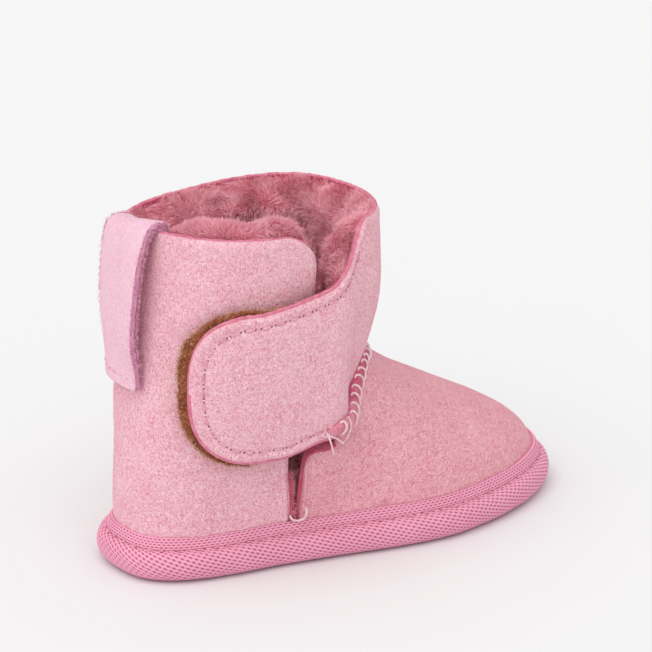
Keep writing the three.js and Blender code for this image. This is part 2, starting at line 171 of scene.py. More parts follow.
def shaft_radius(angle, z):
    low = superellipse(angle, SHAFT_LENGTH - FRONT_TAPER, SHAFT_WIDTH - SIDE_TAPER, SHAFT_POWER)
    base = mix(upper_foot(angle), low, smooth(-0.1, 0.5, np.cos(np.radians(angle))))
    up = np.clip((z - 10) / 70, 0, 1.1)
    ease = 0.5 * up + 0.5 * up * up * (3 - 2 * up)
    high = superellipse(angle, SHAFT_LENGTH, SHAFT_WIDTH, SHAFT_POWER)
    drawn_in = ANKLE_DEPTH * np.exp(-(((z - ANKLE) / ANKLE_SPREAD) ** 2))
    side = np.abs((np.asarray(angle) + 180) % 360 - 180)
    ankle = drawn_in * smooth(ANKLE_SIDE, ANKLE_FRONT, side)
    return mix(base, high, ease) + BULGE * np.sin(np.pi * np.minimum(up, 1)) - ankle


def on_shaft(angle, z, off=0.0):
    angle, z, off = np.broadcast_arrays(np.asarray(angle, float), z, off)
    r = shaft_radius(angle, z) + off
    a = np.radians(angle)
    return np.stack([SHAFT_X + r * np.cos(a), SHAFT_Y + r * np.sin(a), z], -1)


def outward(angle):
    a = np.radians(np.asarray(angle, float))
    return np.stack([np.cos(a), np.sin(a), np.zeros_like(a)], -1)


def sideways(angle):
    out = outward(angle)
    return np.stack([-out[:, 1], out[:, 0], out[:, 2]], -1)


def strap_lift(angle):
    return STRAP_LIFT * smooth(LIFT_FROM, LIFT_TO, np.where(angle > 90, 0, angle))


def seam_height(angle):
    side = np.abs(angle)
    front = mix(SEAM_LOW, SEAM_HIGH, smooth(SEAM_SIDE, SEAM_FLAT, side))
    along = np.clip((side - SEAM_SIDE) / (SEAM_END - SEAM_SIDE), 0, 1)
    return np.where(side < SEAM_SIDE, front, mix(FOOT, SEAM_LOW, (1 - along**4) ** 0.25))


def end_half(angle, inset=0.0):
    along = np.clip((STRAP_BEND - angle) / (STRAP_BEND - STRAP_TIP - inset / ARC), 0, 1)
    return (STRAP_HALF - inset) * (1 - along**STRAP_POWER) ** (1 / STRAP_POWER)


def strap_top(angle, inset=0.0):
    along = np.maximum(angle - SWEEP_FROM, 0) / SWEEP_OVER
    rise = STRAP_SLOPE * np.maximum(angle - STRAP_BEND, 0) + SWEEP * along**2
    return STRAP_MIDDLE + end_half(angle, inset) + rise


def strap_bottom(angle, inset=0.0):
    return STRAP_MIDDLE - end_half(angle, inset) + STRAP_RISE * smooth(-112, HINGE, angle)


def strap_distance(angle, z):
    """How far a point of the strap is from its nearest edge."""
    straight = np.minimum(strap_top(angle) - z, z - strap_bottom(angle))
    x, y = (STRAP_BEND - angle) * ARC, z - STRAP_MIDDLE
    half = (STRAP_BEND - STRAP_TIP) * ARC
    rho = (np.abs(x / half) ** STRAP_POWER + np.abs(y / STRAP_HALF) ** STRAP_POWER) ** (1 / STRAP_POWER)
    round_end = np.hypot(x, y) * (1 / np.maximum(rho, 1e-3) - 1)
    return np.where(angle < STRAP_BEND, round_end, straight)


def slit_angle(z):
    back = SLIT_BACK * smooth(10, 28, z) * smooth(62, 34, z)
    return 360 + SLIT + SLIT_LEAN * (z - FOOT) / (RIM - FOOT) - back


# ---- the vamp's surface
def vamp_point(angle, along):
    angle, along = np.broadcast_arrays(np.asarray(angle, float), np.asarray(along, float))
    out = outward(angle)
    start = on_shaft(angle, seam_height(angle) - 0.15)
    end = np.array([SHAFT_X, SHAFT_Y, FOOT]) + out * upper_foot(angle)[..., None]
    reach = np.maximum(((end - start) * out).sum(-1), 0)[..., None]
    drop = (start[..., 2] - FOOT)[..., None]
    up = np.array([0, 0, 1.0])
    p1 = start + out * 0.45 * reach - up * 0.55 * drop
    p2 = end - out * 0.04 * reach + up * 0.33 * drop
    t = along[..., None]
    return (1 - t) ** 3 * start + 3 * t * (1 - t) ** 2 * p1 + 3 * t * t * (1 - t) * p2 + t**3 * end


def vamp_normal(angle, along):
    inner = np.clip(angle, -88, 88)
    a = np.maximum(along - 0.01, 0)
    across = vamp_point(inner + 1, along) - vamp_point(inner - 1, along)
    down = vamp_point(inner, a + 0.01) - vamp_point(inner, a)
    return unit(np.cross(down, across))


def vamp_offset(angle, along, off):
    return vamp_point(angle, along) + vamp_normal(angle, along) * np.asarray(off, float)[..., None]


# ---- meshes
def add_mesh(name, verts, faces, material_index=None, **attributes):
    """A mesh object from points in mm and four-cornered faces."""
    verts, faces = np.asarray(verts, float).reshape(-1, 3), np.asarray(faces, np.int32).reshape(-1, 4)
    mesh = bpy.data.meshes.new(name)
    mesh.vertices.add(len(verts))
    mesh.vertices.foreach_set("co", (verts / 1000).astype(np.float32).ravel())
    mesh.loops.add(faces.size)
    mesh.loops.foreach_set("vertex_index", faces.ravel())
    mesh.polygons.add(len(faces))
    mesh.polygons.foreach_set("loop_start", np.arange(0, faces.size, 4, dtype=np.int32))
    mesh.polygons.foreach_set("loop_total", np.full(len(faces), 4, np.int32))
    if material_index is not None:
        mesh.polygons.foreach_set("material_index", np.asarray(material_index, np.int32))
    mesh.polygons.foreach_set("use_smooth", np.ones(len(faces), bool))
    mesh.update(calc_edges=True)
    rest = mesh.attributes.new("rest", "FLOAT_VECTOR", "POINT")
    rest.data.foreach_set("vector", verts.astype(np.float32).ravel())
    for key, values in attributes.items():
        values = np.asarray(values, np.float32)
        kind, field = ("FLOAT_VECTOR", "vector") if values.ndim == 2 else ("FLOAT", "value")
        mesh.attributes.new(key, kind, "POINT").data.foreach_set(field, values.ravel())
    obj = bpy.data.objects.new(name, mesh)
    bpy.context.scene.collection.objects.link(obj)
    return obj


def faced_out(verts, faces):
    """The faces, turned round if the closed surface that they make faces inwards."""
    a, b, c = (verts[faces[:, k]] for k in (0, 1, 2))
    d = verts[faces[:, 3]]
    volume = (a * np.cross(b, c)).sum() + (a * np.cross(c, d)).sum()
    return faces if volume > 0 else faces[:, ::-1]


def grid_faces(rows, columns, wrap=False):
    """Faces of a grid of points stored row after row. With wrap, the last column meets the first."""
    i, j = np.meshgrid(np.arange(rows - 1), np.arange(columns if wrap else columns - 1), indexing="ij")
    k = (j + 1) % columns
    at = lambda a, b: (a * columns + b).ravel()
    return np.stack([at(i, j), at(i + 1, j), at(i + 1, k), at(i, k)], -1)


def shell(outer, inner, skip=(), bulge=0.3, rough=0.18, seed=1):
    """A sheet with thickness from its two faces, grids of the same size. Its edge is a soft band.
    Returns points, faces and a material number for each face: 0 outer, 1 edge, 2 inner."""
    m, n = outer.shape[:2]
    steps = 5
    sides = {
        "low": [(i, 0, i, 1) for i in range(m - 1)],
        "end": [(m - 1, j, m - 2, j) for j in range(n - 1)],
        "high": [(i, n - 1, i, n - 2) for i in range(m - 1, 0, -1)],
        "start": [(0, j, 1, j) for j in range(n - 1, 0, -1)],
    }
    ring = np.array([p for side in sides.values() for p in side])
    shown = np.concatenate([np.full(len(p), s not in skip) for s, p in sides.items()])
    out, into = outer[ring[:, 0], ring[:, 1]], inner[ring[:, 0], ring[:, 1]]
    away = unit(out - outer[ring[:, 2], ring[:, 3]])
    t = (np.arange(1, steps + 1) / (steps + 1))[:, None, None]
    band = mix(out, into, t) + away * bulge * np.sin(np.pi * t)
    band = band + away * (rough * noise(band, 0.7, seed) * np.sin(np.pi * t[..., 0]))[..., None]
    count = len(ring)
    verts = np.concatenate([outer.reshape(-1, 3), inner.reshape(-1, 3), band.reshape(-1, 3)])
    first = ring[:, 0] * n + ring[:, 1]
    levels = [first] + [2 * m * n + k * count + np.arange(count) for k in range(steps)] + [first + m * n]
    here = np.nonzero(shown)[0]
    after = (here + 1) % count
    edge = [np.stack([a[after], a[here], b[here], b[after]], -1) for a, b in zip(levels, levels[1:])]
    front = grid_faces(m, n)
    back = front[:, ::-1] + m * n
    faces = np.concatenate([front, *edge, back])
    kinds = np.repeat([0, 1, 2], [len(front), sum(len(e) for e in edge), len(back)])
    return verts, faces, kinds


def sweep(paths, ring):
    """Tubes along paths, a list of (count, 3) point lists. ring(distance) gives the radius round the
    section as (count, sides)."""
    verts, faces, base = [], [], 0
    for path in paths:
        path = np.asarray(path, float)
        tangent = unit(np.gradient(path, axis=0))
        side = np.empty_like(path)
        side[0] = unit(np.cross(tangent[0], [0.31, 0.17, 0.93]))
        for i in range(1, len(path)):
            side[i] = unit(side[i - 1] - tangent[i] * (side[i - 1] @ tangent[i]))
        other = np.cross(tangent, side)
        far = distances(path)
        radius = ring(far)
        sides = radius.shape[1]
        a = np.arange(sides) / sides * 2 * np.pi
        circle = side[:, None] * np.cos(a)[:, None] + other[:, None] * np.sin(a)[:, None]
        ends = np.ones(len(path))
        ends[[0, -1]] = 0.05
        verts.append((path[:, None] + circle * (radius * ends[:, None])[..., None]).reshape(-1, 3))
        faces.append(grid_faces(len(path), sides, wrap=True) + base)
        base += len(path) * sides
    return np.concatenate(verts), np.concatenate(faces)


def twisted(radius, turn=2.2, sides=12):
    """The section of a two-ply thread that turns once in that many mm."""
    a = np.arange(sides) / sides * 2 * np.pi
    return lambda far: radius * (0.78 + 0.32 * np.abs(np.cos(a[None] - far[:, None] / turn * 2 * np.pi)))


def curve(points, step=0.2):
    """A smooth line through a few points, as many points about a step apart."""
    p = np.asarray(points, float)
    p = np.concatenate([[2 * p[0] - p[1]], p, [2 * p[-1] - p[-2]]])
    out = []
    for a, b, c, d in zip(p, p[1:], p[2:], p[3:]):
        count = max(int(np.linalg.norm(c - b) / step), 2)
        t = (np.arange(count) / count)[:, None]
        square, cube = (2 * a - 5 * b + 4 * c - d) * t**2, (3 * b - a - 3 * c + d) * t**3
        out.append(0.5 * (2 * b + (c - a) * t + square + cube))
    return np.concatenate([*out, p[-2:-1]])


def strands(roots, lean, length, width, rng, curl=0.16, wave=1.3, locks=None):
    """Fibres as thin ribbons. locks is (root, tip) for each fibre's lock, which draws its end in."""
    n, segments = len(roots), 3
    t = np.linspace(0, 1, segments + 1)[:, None, None]
    e1 = unit(np.cross(lean, rng.normal(size=(n, 3))))
    e2 = np.cross(lean, e1)
    phase = rng.uniform(0, 2 * np.pi, n)[:, None]
    turns = (wave * rng.uniform(0.6, 1.4, n) * np.pi)[:, None]
    size = (curl * length)[:, None]
    p = roots + lean * length[:, None] * t
    p = p + e1 * size * (np.sin(phase + turns * t) - np.sin(phase))
    p = p + e2 * size * (np.cos(phase + turns * t) - np.cos(phase))
    if locks is not None:
        p = mix(p, mix(locks[0], locks[1], t), 0.6 * t**1.5)
    side = unit(np.cross(lean, rng.normal(size=(n, 3)))) * (width / 2)
    thin = np.interp(t[:, 0, 0], [0, 0.7, 1], [1, 0.85, 0.25])[:, None, None]
    both = np.stack([p - side * thin, p + side * thin], 2)  # level, fibre, side
    verts = both.transpose(1, 0, 2, 3).reshape(-1, 3)
    k = np.arange(segments)
    one = np.stack([2 * k, 2 * k + 1, 2 * k + 3, 2 * k + 2], -1)
    faces = (np.arange(n)[:, None, None] * 2 * (segments + 1) + one).reshape(-1, 4)
    along = np.tile(np.repeat(np.linspace(0, 1, segments + 1), 2), n)
    tint = np.repeat(rng.uniform(0, 1, n), 2 * (segments + 1))
    return verts, faces, along, tint


# ---- materials
class Material:
    """A node material in the making: each method adds nodes and returns what they give out, except
    colour, and bump, which ends the material and returns it."""

    def __init__(self, name, roughness, specular, sheen=0.0, sheen_tint="#ffffff"):
        self.material = bpy.data.materials.new(name)
        self.material.use_nodes = True
        self.tree = self.material.node_tree
        self.tree.nodes.clear()
        self.surface = self.node("ShaderNodeBsdfPrincipled")
        values = {"Roughness": roughness, "Specular IOR Level": specular, "Sheen Weight": sheen,
                  "Sheen Roughness": 0.5, "Sheen Tint": linear(sheen_tint)}
        for socket, value in values.items():
            self.surface.inputs[socket].default_value = value
        output = self.node("ShaderNodeOutputMaterial")
        self.link(self.surface.outputs["BSDF"], output.inputs["Surface"])

    def node(self, kind, **settings):
        made = self.tree.nodes.new(kind)
        for key, value in settings.items():
            setattr(made, key, value)
        return made

    def link(self, a, b):
        self.tree.links.new(a, b)

    def put(self, socket, value):
        if hasattr(value, "is_linked"):
            self.link(value, socket)
        else:
            socket.default_value = value

    def attribute(self, name, field="Vector"):
        return self.node("ShaderNodeAttribute", attribute_name=name).outputs[field]

    def math(self, operation, a, b=0.0, c=0.0, clamp=False):
        made = self.node("ShaderNodeMath", operation=operation, use_clamp=clamp)
        for socket, value in zip(made.inputs, (a, b, c)):
            self.put(socket, value)
        return made.outputs[0]

    def scaled(self, vector, factors):
        made = self.node("ShaderNodeVectorMath", operation="MULTIPLY")
        self.put(made.inputs[0], vector)
        made.inputs[1].default_value = factors
        return made.outputs[0]

    def weighted(self, *terms):
        """The sum of values, each times its weight."""
        parts = [self.math("MULTIPLY", value, weight) for value, weight in terms]
        total = parts[0]
        for part in parts[1:]:
            total = self.math("ADD", total, part)
        return total

    def noise(self, vector, size, detail=2.0, roughness=0.5, distortion=0.0):
        made = self.node("ShaderNodeTexNoise")
        values = {"Vector": vector, "Scale": 1 / size, "Detail": detail, "Roughness": roughness,
                  "Distortion": distortion}
        for socket, value in values.items():
            self.put(made.inputs[socket], value)
        return made.outputs["Fac"]

    def ramp(self, value, *stops):
        made = self.node("ShaderNodeValToRGB")
        elements = made.color_ramp.elements
        while len(elements) < len(stops):
            elements.new(0.5)
        for element, (place, colour) in zip(elements, stops):
            element.position, element.color = place, linear(colour) if isinstance(colour, str) else colour
        self.put(made.inputs["Fac"], value)
        return made.outputs["Color"]

    def blend(self, factor, a, b):
        made = self.node("ShaderNodeMix", data_type="RGBA", clamp_factor=True)
        for socket, value in zip((made.inputs["Factor"], made.inputs[6], made.inputs[7]), (factor, a, b)):
            self.link(value, socket)
        return made.outputs[2]

    def colour(self, value):
        self.link(value, self.surface.inputs["Base Color"])

    def bump(self, height, strength, distance_mm):
        made = self.node("ShaderNodeBump")
        made.inputs["Strength"].default_value = strength
        made.inputs["Distance"].default_value = distance_mm / 1000
        self.link(height, made.inputs["Height"])
        self.link(made.outputs["Normal"], self.surface.inputs["Normal"])
        return self.material


def linear(colour):
    """A display colour such as "#f0c0d0", as linear light with full cover."""
    shares = [int(colour[k:k + 2], 16) / 255 for k in (1, 3, 5)]
    return (*(c / 12.92 if c <= 0.04045 else ((c + 0.055) / 1.055) ** 2.4 for c in shares), 1)


def suede(name, light, middle, dark, grain=0.52):
    """Brushed suede: short curled nap that reads as a fine, even speckle over a faint mottle."""
    m = Material(name, 0.95, 0.1, sheen=0.12, sheen_tint=light)
    rest = m.attribute("rest")
    mottle = m.noise(rest, 8.0)
    speck = m.noise(rest, grain, 1, 0.5, 1.6)
    stroke = m.noise(m.scaled(rest, (1, 1, 0.5)), grain * 0.62, 1, 0.5, 1.0)
    tone = m.weighted((mottle, 0.10), (speck, 0.55), (stroke, 0.35))
    m.colour(m.ramp(tone, (0.36, dark), (0.48, middle), (0.60, light)))
    return m.bump(m.weighted((speck, 1.0), (stroke, 0.7)), 0.75, 0.45)


def cut_edge(name, light, dark):
    """The bare edge of a cut skin: deeper in colour, and fibrous."""
    m = Material(name, 0.95, 0.1, sheen=0.2, sheen_tint=light)
    rest = m.attribute("rest")
    fibre = m.noise(rest, 0.28, 3, 0.7, 1.0)
    m.colour(m.ramp(m.weighted((fibre, 0.6), (m.noise(rest, 1.6), 0.4)), (0.36, dark), (0.64, light)))
    return m.bump(fibre, 0.8, 0.3)


def wool(name, root, middle, tip, fibre=True):
    """Wool fibres that go from a deep colour at the skin to a pale one at the tips: painted shade deep in
    the pile and painted light on the tips.
    """
    m = Material(name, 0.9, 0.15, sheen=0.12, sheen_tint=middle)
    rest = m.attribute("rest")
    mottle = m.noise(rest, 4.5, 2, 0.6)
    if fibre:
        along, tint = m.attribute("along", "Fac"), m.attribute("tint", "Fac")
        # along makes each fibre deeper towards its root: painted shade deep in the pile, and paler towards
        # the tip.
        tone = m.weighted((along, 0.42), (tint, 0.40), (mottle, 0.18))
        m.colour(m.ramp(tone, (0.12, root), (0.56, middle), (0.95, tip)))
        return m.bump(m.noise(rest, 0.5, 2), 0.2, 0.1)
    curls = m.noise(rest, 0.7, 4, 0.7, 1.5)
    m.colour(m.ramp(m.weighted((curls, 0.7), (mottle, 0.3)), (0.35, root), (0.62, middle), (0.8, tip)))
    return m.bump(curls, 1.0, 0.8)


def thread(name, light, dark):
    m = Material(name, 0.75, 0.3, sheen=0.25, sheen_tint=light)
    rest = m.attribute("rest")
    ply = m.noise(rest, 0.18, 2, 0.6, 0.5)
    m.colour(m.ramp(m.weighted((ply, 0.5), (m.noise(rest, 1.4), 0.5)), (0.36, dark), (0.6, light)))
    return m.bump(ply, 0.6, 0.12)


HIDE_LIGHT = "#fed4dd"
suede_pink = suede("suede_pink", HIDE_LIGHT, "#f3b6c3", "#de8a9d")
suede_vamp = suede("suede_vamp", "#f8c2cc", "#eda6b2", "#d68090")
edge_pink = cut_edge("cut_edge_pink", "#ee9eb2", "#ce627e")
edge_deep = cut_edge("cut_edge_deep", "#fa92ac", "#de5678")
tab_skin = suede("suede_tab", "#ffdcea", "#fecbdc", "#f0aec6", grain=0.42)
tab_fray = wool("tab_fray", "#ce7ea4", "#f0b6d0", "#ffe2f0")
tab_edge = cut_edge("cut_edge_tab", "#fbc6de", "#d884aa")
# A deeper copy of the fibre wool for the tufts in the slit: painted shade, for the shade that they lie in.
wool_fibre_in_shade = wool("wool_fibre_shaded_copy", "#e2708a", "#f696ac", "#ffbecc")
# The hides' flesh side, also used for the outsole, is a deep dark pink: painted shade for the shaded slit,
# where it shows.
flesh_side_painted_shade = suede("flesh_side_painted_shade", "#de768e", "#ce5c76", "#b2425e", grain=0.6)
wool_fibre = wool("wool_fibre", "#e48496", "#f8b4c0", "#ffd8df")
wool_pale = wool("wool_fibre_pale", "#e894a3", "#f3b0bd", "#fbced6")
# The wool's skin is deeper in colour than its fibres: painted shade between the fibres.
wool_skin_painted_shade = wool("wool_skin_painted_shade", "#d46076", "#ec90a0", "#f7b6c2", fibre=False)
pad_fibre = wool("pad_fibre", "#54281a", "#ce8860", "#ffe8ce")
pad_felt = wool("pad_felt", "#603024", "#d07c54", "#f4b088", fibre=False)
thread_pale = thread("thread_pale", "#fae4e8", "#e2b0bc")
thread_pink = thread("thread_pink", "#f0bac6", "#c47486")
# A dark thread colour for the stitch holes: painted shade inside the holes.
stitch_hole_shade = thread("stitch_hole_shade", "#96545c", "#622a34")
foam_cream = wool("foam_cream", "#cec0aa", "#e8decc", "#f6f0e2", fibre=False)
patch_loop = wool("patch_loop", "#c48294", "#e2b0be", "#f4d4dc", fibre=False)


# Woven tape: small pits between the threads, in rows that slant across the tape. Above the crease the
# rows run level and lie closer together. In mm, s runs along the tape and t across it from its top.
RIB_ROW, RIB_PITCH, RIB_SHIFT, STRIP_WIDE, STRIP_ROW = 0.9, 1.3, 0.5, 3.35, 0.6
HOLE_LONG, HOLE_WIDE = 0.34, 0.38
_, TAPE_LENGTH = even_turns(8)
RIB_SLOPE = round(0.36 * TAPE_LENGTH / RIB_ROW) * RIB_ROW / TAPE_LENGTH
RIB_PITCH = TAPE_LENGTH / round(TAPE_LENGTH / RIB_PITCH)


def weave(s, t):
    """The height of the weave, from 0 to 1."""
    strip = t < STRIP_WIDE
    level = np.where(strip, t / STRIP_ROW, (t - RIB_SLOPE * s) / RIB_ROW)
    row = np.floor(level)
    x = s / RIB_PITCH + RIB_SHIFT * np.where(strip, row, row % 2)
    y, x = level - row - 0.5, x - np.floor(x) - 0.5
    pit = np.minimum((x / HOLE_LONG) ** 2 + (y / HOLE_WIDE) ** 2, 1)
    return 0.65 * pit + 1.4 * (np.abs(y) - y * y)


def tape_material():
    m = Material("woven_tape", 0.62, 0.35, sheen=0.25, sheen_tint="#fabedc")
    place = m.node("ShaderNodeSeparateXYZ")
    m.link(m.attribute("weave_at"), place.inputs[0])
    s, t = place.outputs["X"], place.outputs["Y"]
    strip = m.math("LESS_THAN", t, STRIP_WIDE)
    level = m.math("DIVIDE", m.math("MULTIPLY_ADD", s, -RIB_SLOPE, t), RIB_ROW)
    gap = m.math("SUBTRACT", m.math("DIVIDE", t, STRIP_ROW), level)
    level = m.math("MULTIPLY_ADD", gap, strip, level)
    y = m.math("ABSOLUTE", m.math("SUBTRACT", m.math("FRACT", level), 0.5))
    odd = m.math("MODULO", m.math("FLOOR", level), 2.0)
    x = m.math("FRACT", m.math("ADD", m.math("DIVIDE", s, RIB_PITCH), m.math("MULTIPLY", odd, RIB_SHIFT)))
    x = m.math("ABSOLUTE", m.math("SUBTRACT", x, 0.5))
    across = m.math("POWER", m.math("DIVIDE", y, HOLE_WIDE), 2.0)
    along = m.math("POWER", m.math("DIVIDE", x, HOLE_LONG), 2.0)
    pit = m.math("ADD", across, along, clamp=True)
    row = m.math("MULTIPLY", m.math("SUBTRACT", y, m.math("POWER", y, 2.0)), 1.4)
    height = m.math("MULTIPLY_ADD", pit, 0.65, row)
    fibre = m.noise(m.scaled(m.attribute("weave_at"), (1.6, 8.0, 1)), 1.0, 2, 0.6)
    fade = m.noise(m.attribute("rest"), 9.0)
    # The colour follows the weave's height, darker in the pits and paler on the threads' crests: painted
    # shade and painted highlight. The fibre and fade noise is the tape's own tone.
    tone = m.weighted((height, 0.62), (fibre, 0.24), (fade, 0.14))
    m.colour(m.ramp(tone, (0.26, "#b45276"), (0.60, "#de8aa6"), (0.84, "#f0aac2")))
    return m.bump(m.weighted((height, 1.0), (fibre, 0.3)), 0.5, 0.2)


woven_tape = tape_material()


def bend_to_strap(obj):
    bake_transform(obj)


def bend_to_flap(obj):
    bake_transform(obj)


def piece(name, verts, faces, materials, slot, replaces, body="root", kinds=None, **attributes):
    """A finished piece: its mesh and looks, and the nodes it replaces. Root pieces are attached to their
    body; strap and side-flap pieces are only baked where they stand and follow no body.
    """
    obj = add_mesh(name, verts, faces, kinds, **attributes)
    for material in materials:
        obj.data.materials.append(material)
    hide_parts(*replaces)
    if body == "strap":
        bend_to_strap(obj)
    elif body == "side_flap":
        bend_to_flap(obj)
    else:
        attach(obj, body)
    return obj


def threads(name, paths, radius, turn, material, node, body="root"):
    verts, faces = sweep(paths, twisted(radius, turn))
    piece(name, verts, faces, [material], "thread", [node], body)


# ---- sole: tape, outsole, foam
CREASE_Z = 7.6
TAPE_COLUMNS, PLATE_COLUMNS, PLATE_RINGS = 1400, 420, 26  # how fine the meshes are
TAPE_SHOWN = 0.56  # the share of the tape's width that shows its weave in full
SOLE_MIDDLE = np.array([4.0, 0.0])
TAPE_LINE = [  # inset, height: from inside the top edge, over the outside and under the foam
    (3.95, 9.95), (3.6, 10.2), (3.2, 9.95), (2.8, 9.0), (2.45, 8.2), (2.5, 7.55), (2.0, 7.35), (1.2, 7.1),
    (0.5, 6.4), (0.1, 5.4), (0.0, 4.4), (0.12, 3.2), (0.62, 1.9), (1.55, 0.95), (2.7, 0.42), (4.2, 0.2),
    (5.7, 0.15), (6.0, 0.3), (5.9, 0.9), (4.4, 1.2), (2.8, 1.7), (1.9, 3.2), (1.5, 4.8), (2.1, 6.3),
    (3.3, 7.6), (3.85, 9.4),
]


def add_tape():
    line = curve(TAPE_LINE, 0.17)
    across = distances(line)
    turns, length = even_turns(TAPE_COLUMNS)
    s = np.arange(TAPE_COLUMNS) / TAPE_COLUMNS * length
    shape = (TAPE_COLUMNS, len(line))
    edge = sole_inset(turns[:, None], np.broadcast_to(line[:, 0], shape))
    points = np.concatenate([edge, np.broadcast_to(line[:, 1:], (*shape, 1))], -1)
    step_in, step_up = np.gradient(line, axis=0).T
    scale = np.hypot(step_in, step_up)
    inward = unit(sole_inset(turns, 1.0) - sole_edge(turns))
    out = np.concatenate([inward[:, None] * (-step_up / scale)[:, None],
                          np.broadcast_to((step_in / scale)[:, None], (*shape, 1))], -1)
    height = weave(s[:, None], across) * np.where(across < across[-1] * TAPE_SHOWN, 1, 0.15)
    puff = (0.22 * noise(points, 11, 5) + 0.12 * noise(points, 4, 6)) * smooth(0.4, 2.0, points[..., 2])
    points = points - out * (0.30 * height + puff - 0.12)[..., None]
    points[..., 2] = np.maximum(points[..., 2], 0.03)
    verts = np.concatenate([points, points[:1]]).reshape(-1, 3)
    faces = grid_faces(TAPE_COLUMNS + 1, len(line), wrap=True)
    at = np.zeros((TAPE_COLUMNS + 1, len(line), 3))
    at[..., 0], at[..., 1] = np.append(s, length)[:, None], across
    piece("rand_tape_woven", verts, faced_out(verts, faces), [woven_tape], "tape", ["rand_tape"],
          weave_at=at.reshape(-1, 3))


def sole_plate(name, levels, material, slot, node, rough, seed):
    """A plate with the sole's outline: each (inset, z) level is one loop, and both faces close in."""
    turns, _ = even_turns(PLATE_COLUMNS)
    line = curve(levels, 0.3)
    shares = np.linspace(0.05, 0.97, PLATE_RINGS)
    steps = [(*line[0], share) for share in shares] + [(*level, 1) for level in line]
    steps += [(*line[-1], share) for share in shares[::-1]]
    points = np.zeros((len(steps), PLATE_COLUMNS, 3))
    for loop, (inset, z, share) in zip(points, steps):
        loop[:, :2], loop[:, 2] = mix(SOLE_MIDDLE, sole_inset(turns, inset), share), z
    dip = rough * (noise(points, 6, seed) + 0.5 * noise(points, 2.5, seed + 1))
    points[..., 2] = np.maximum(points[..., 2] + dip * smooth(0.0, 0.6, points[..., 2]), 0.02)
    verts = points.reshape(-1, 3)
    faces = grid_faces(len(steps), PLATE_COLUMNS, wrap=True)
    return piece(name, verts, faced_out(verts, faces), [material], slot, [node])


def add_sole():
    add_tape()
    outsole = [(6.3, 1.4), (6.05, 1.2), (6.05, 0.2), (6.3, 0.02)]
    foam = [(3.9, 8.6), (2.9, 7.4), (1.9, 4.8), (2.2, 3.4), (4.3, 1.75)]
    sole_plate("outsole_suede", outsole, flesh_side_painted_shade, "suede", "outsole", 0.1, 11)
    sole_plate("midsole_foam_soft", foam, foam_cream, "foam", "midsole_foam", 0.1, 12)
    insole = [(9.8, 12.2), (7.4, 11.2), (6.6, 10.0), (6.6, 8.9)]
    sole_plate("insole_wool_skin", insole, wool_skin_painted_shade, "fleece", "insole_fleece", 0.5, 13)


# ---- hides
def undulation(points):
    """The gentle waviness of the shaft's and the strap's skin."""
    return 0.28 * noise(points, 13, 21) + 0.10 * noise(points, 5, 22) + 0.045 * noise(points, 1.6, 23)


def rounded_end(tip, turn, count):
    """Angles from the strap's bend to a tip, closer together towards the tip."""
    return (STRAP_BEND + (tip - STRAP_BEND) * np.sin(np.linspace(0, np.radians(turn), count)))[1:]


def strip_angles():
    """Columns of the front strip, from the inner side over the front to the strap's tip."""
    seam = SEAM_END + 0.12
    corner = seam - (seam - 80) * eased(36, 0.8)
    inner = np.linspace(PART_SEAM, seam + 0.3, 7)
    front = np.linspace(80, STRAP_BEND, 212)
    return np.concatenate([inner, corner, front[1:], rounded_end(STRAP_TIP, 88.4, 74)])


def strip_low(angle):
    seam = np.where(angle < -40, np.maximum(seam_height(angle), strap_bottom(angle)), seam_height(angle))
    low = np.where(angle < HINGE, strap_bottom(angle), seam + 0.15)
    return np.where(angle > SEAM_END + 0.11, FOOT, low)


def strip_high(angle):
    return np.where(angle < -40, np.minimum(rim_height(angle), strap_top(angle)), rim_height(angle))


def add_front_strip():
    angle = strip_angles()[:, None]
    low, high = strip_low(angle), strip_high(angle)
    z = mix(low, high, eased(112)[None])
    on_strap = smooth(-50, -66, angle)
    edge = np.where(angle < -40, np.minimum(strap_distance(angle, z), high - z), high - z)
    edge = np.where(angle < HINGE, edge, np.minimum(edge, np.where(angle < SEAM_END, z - low, 9)))
    base = strap_lift(angle) + undulation(on_shaft(angle, z))
    rolled = 0.55 * (1 - smooth(0, 1.5, edge))
    stitched = 0.34 * np.exp(-(((edge - 3) / 0.9) ** 2)) * on_strap
    plump = 0.25 * smooth(3.5, 9, edge) * on_strap
    outer = on_shaft(angle, z, base - rolled - stitched + plump)
    inner = on_shaft(angle, z, base - HIDE)
    verts, faces, kinds = shell(outer, inner, skip=("start",))
    worn = (angle < -84) & (edge < np.where(z < STRAP_MIDDLE, 0.75, 0.3))
    kinds[: worn[1:, 1:].size] = worn[1:, 1:].ravel()
    piece("upper_front_and_strap", verts, faces[:, ::-1],
          [suede_pink, edge_pink, flesh_side_painted_shade], "suede", ["shaft_hide", "strap_hide"], "strap", kinds=kinds)


def corner_drop(angle):
    """How far the flap's rounded corner falls below the rim."""
    near = np.maximum(1 - (slit_angle(RIM) - angle) * ARC / FLAP_CORNER, 0)
    return FLAP_CORNER * (1 - np.sqrt(np.maximum(1 - near**2, 0)))


def quarter_point(u, v):
    """The angle and height at a share of the way round the quarter and a share of the way up."""
    angle = mix(PART_SEAM, 360 + SLIT, u) + 0 * v
    for _ in range(4):
        z = mix(FOOT, rim_height(angle) - corner_drop(angle) * (u > 0.5), v)
        angle = mix(PART_SEAM, slit_angle(z), u)
    return angle, z


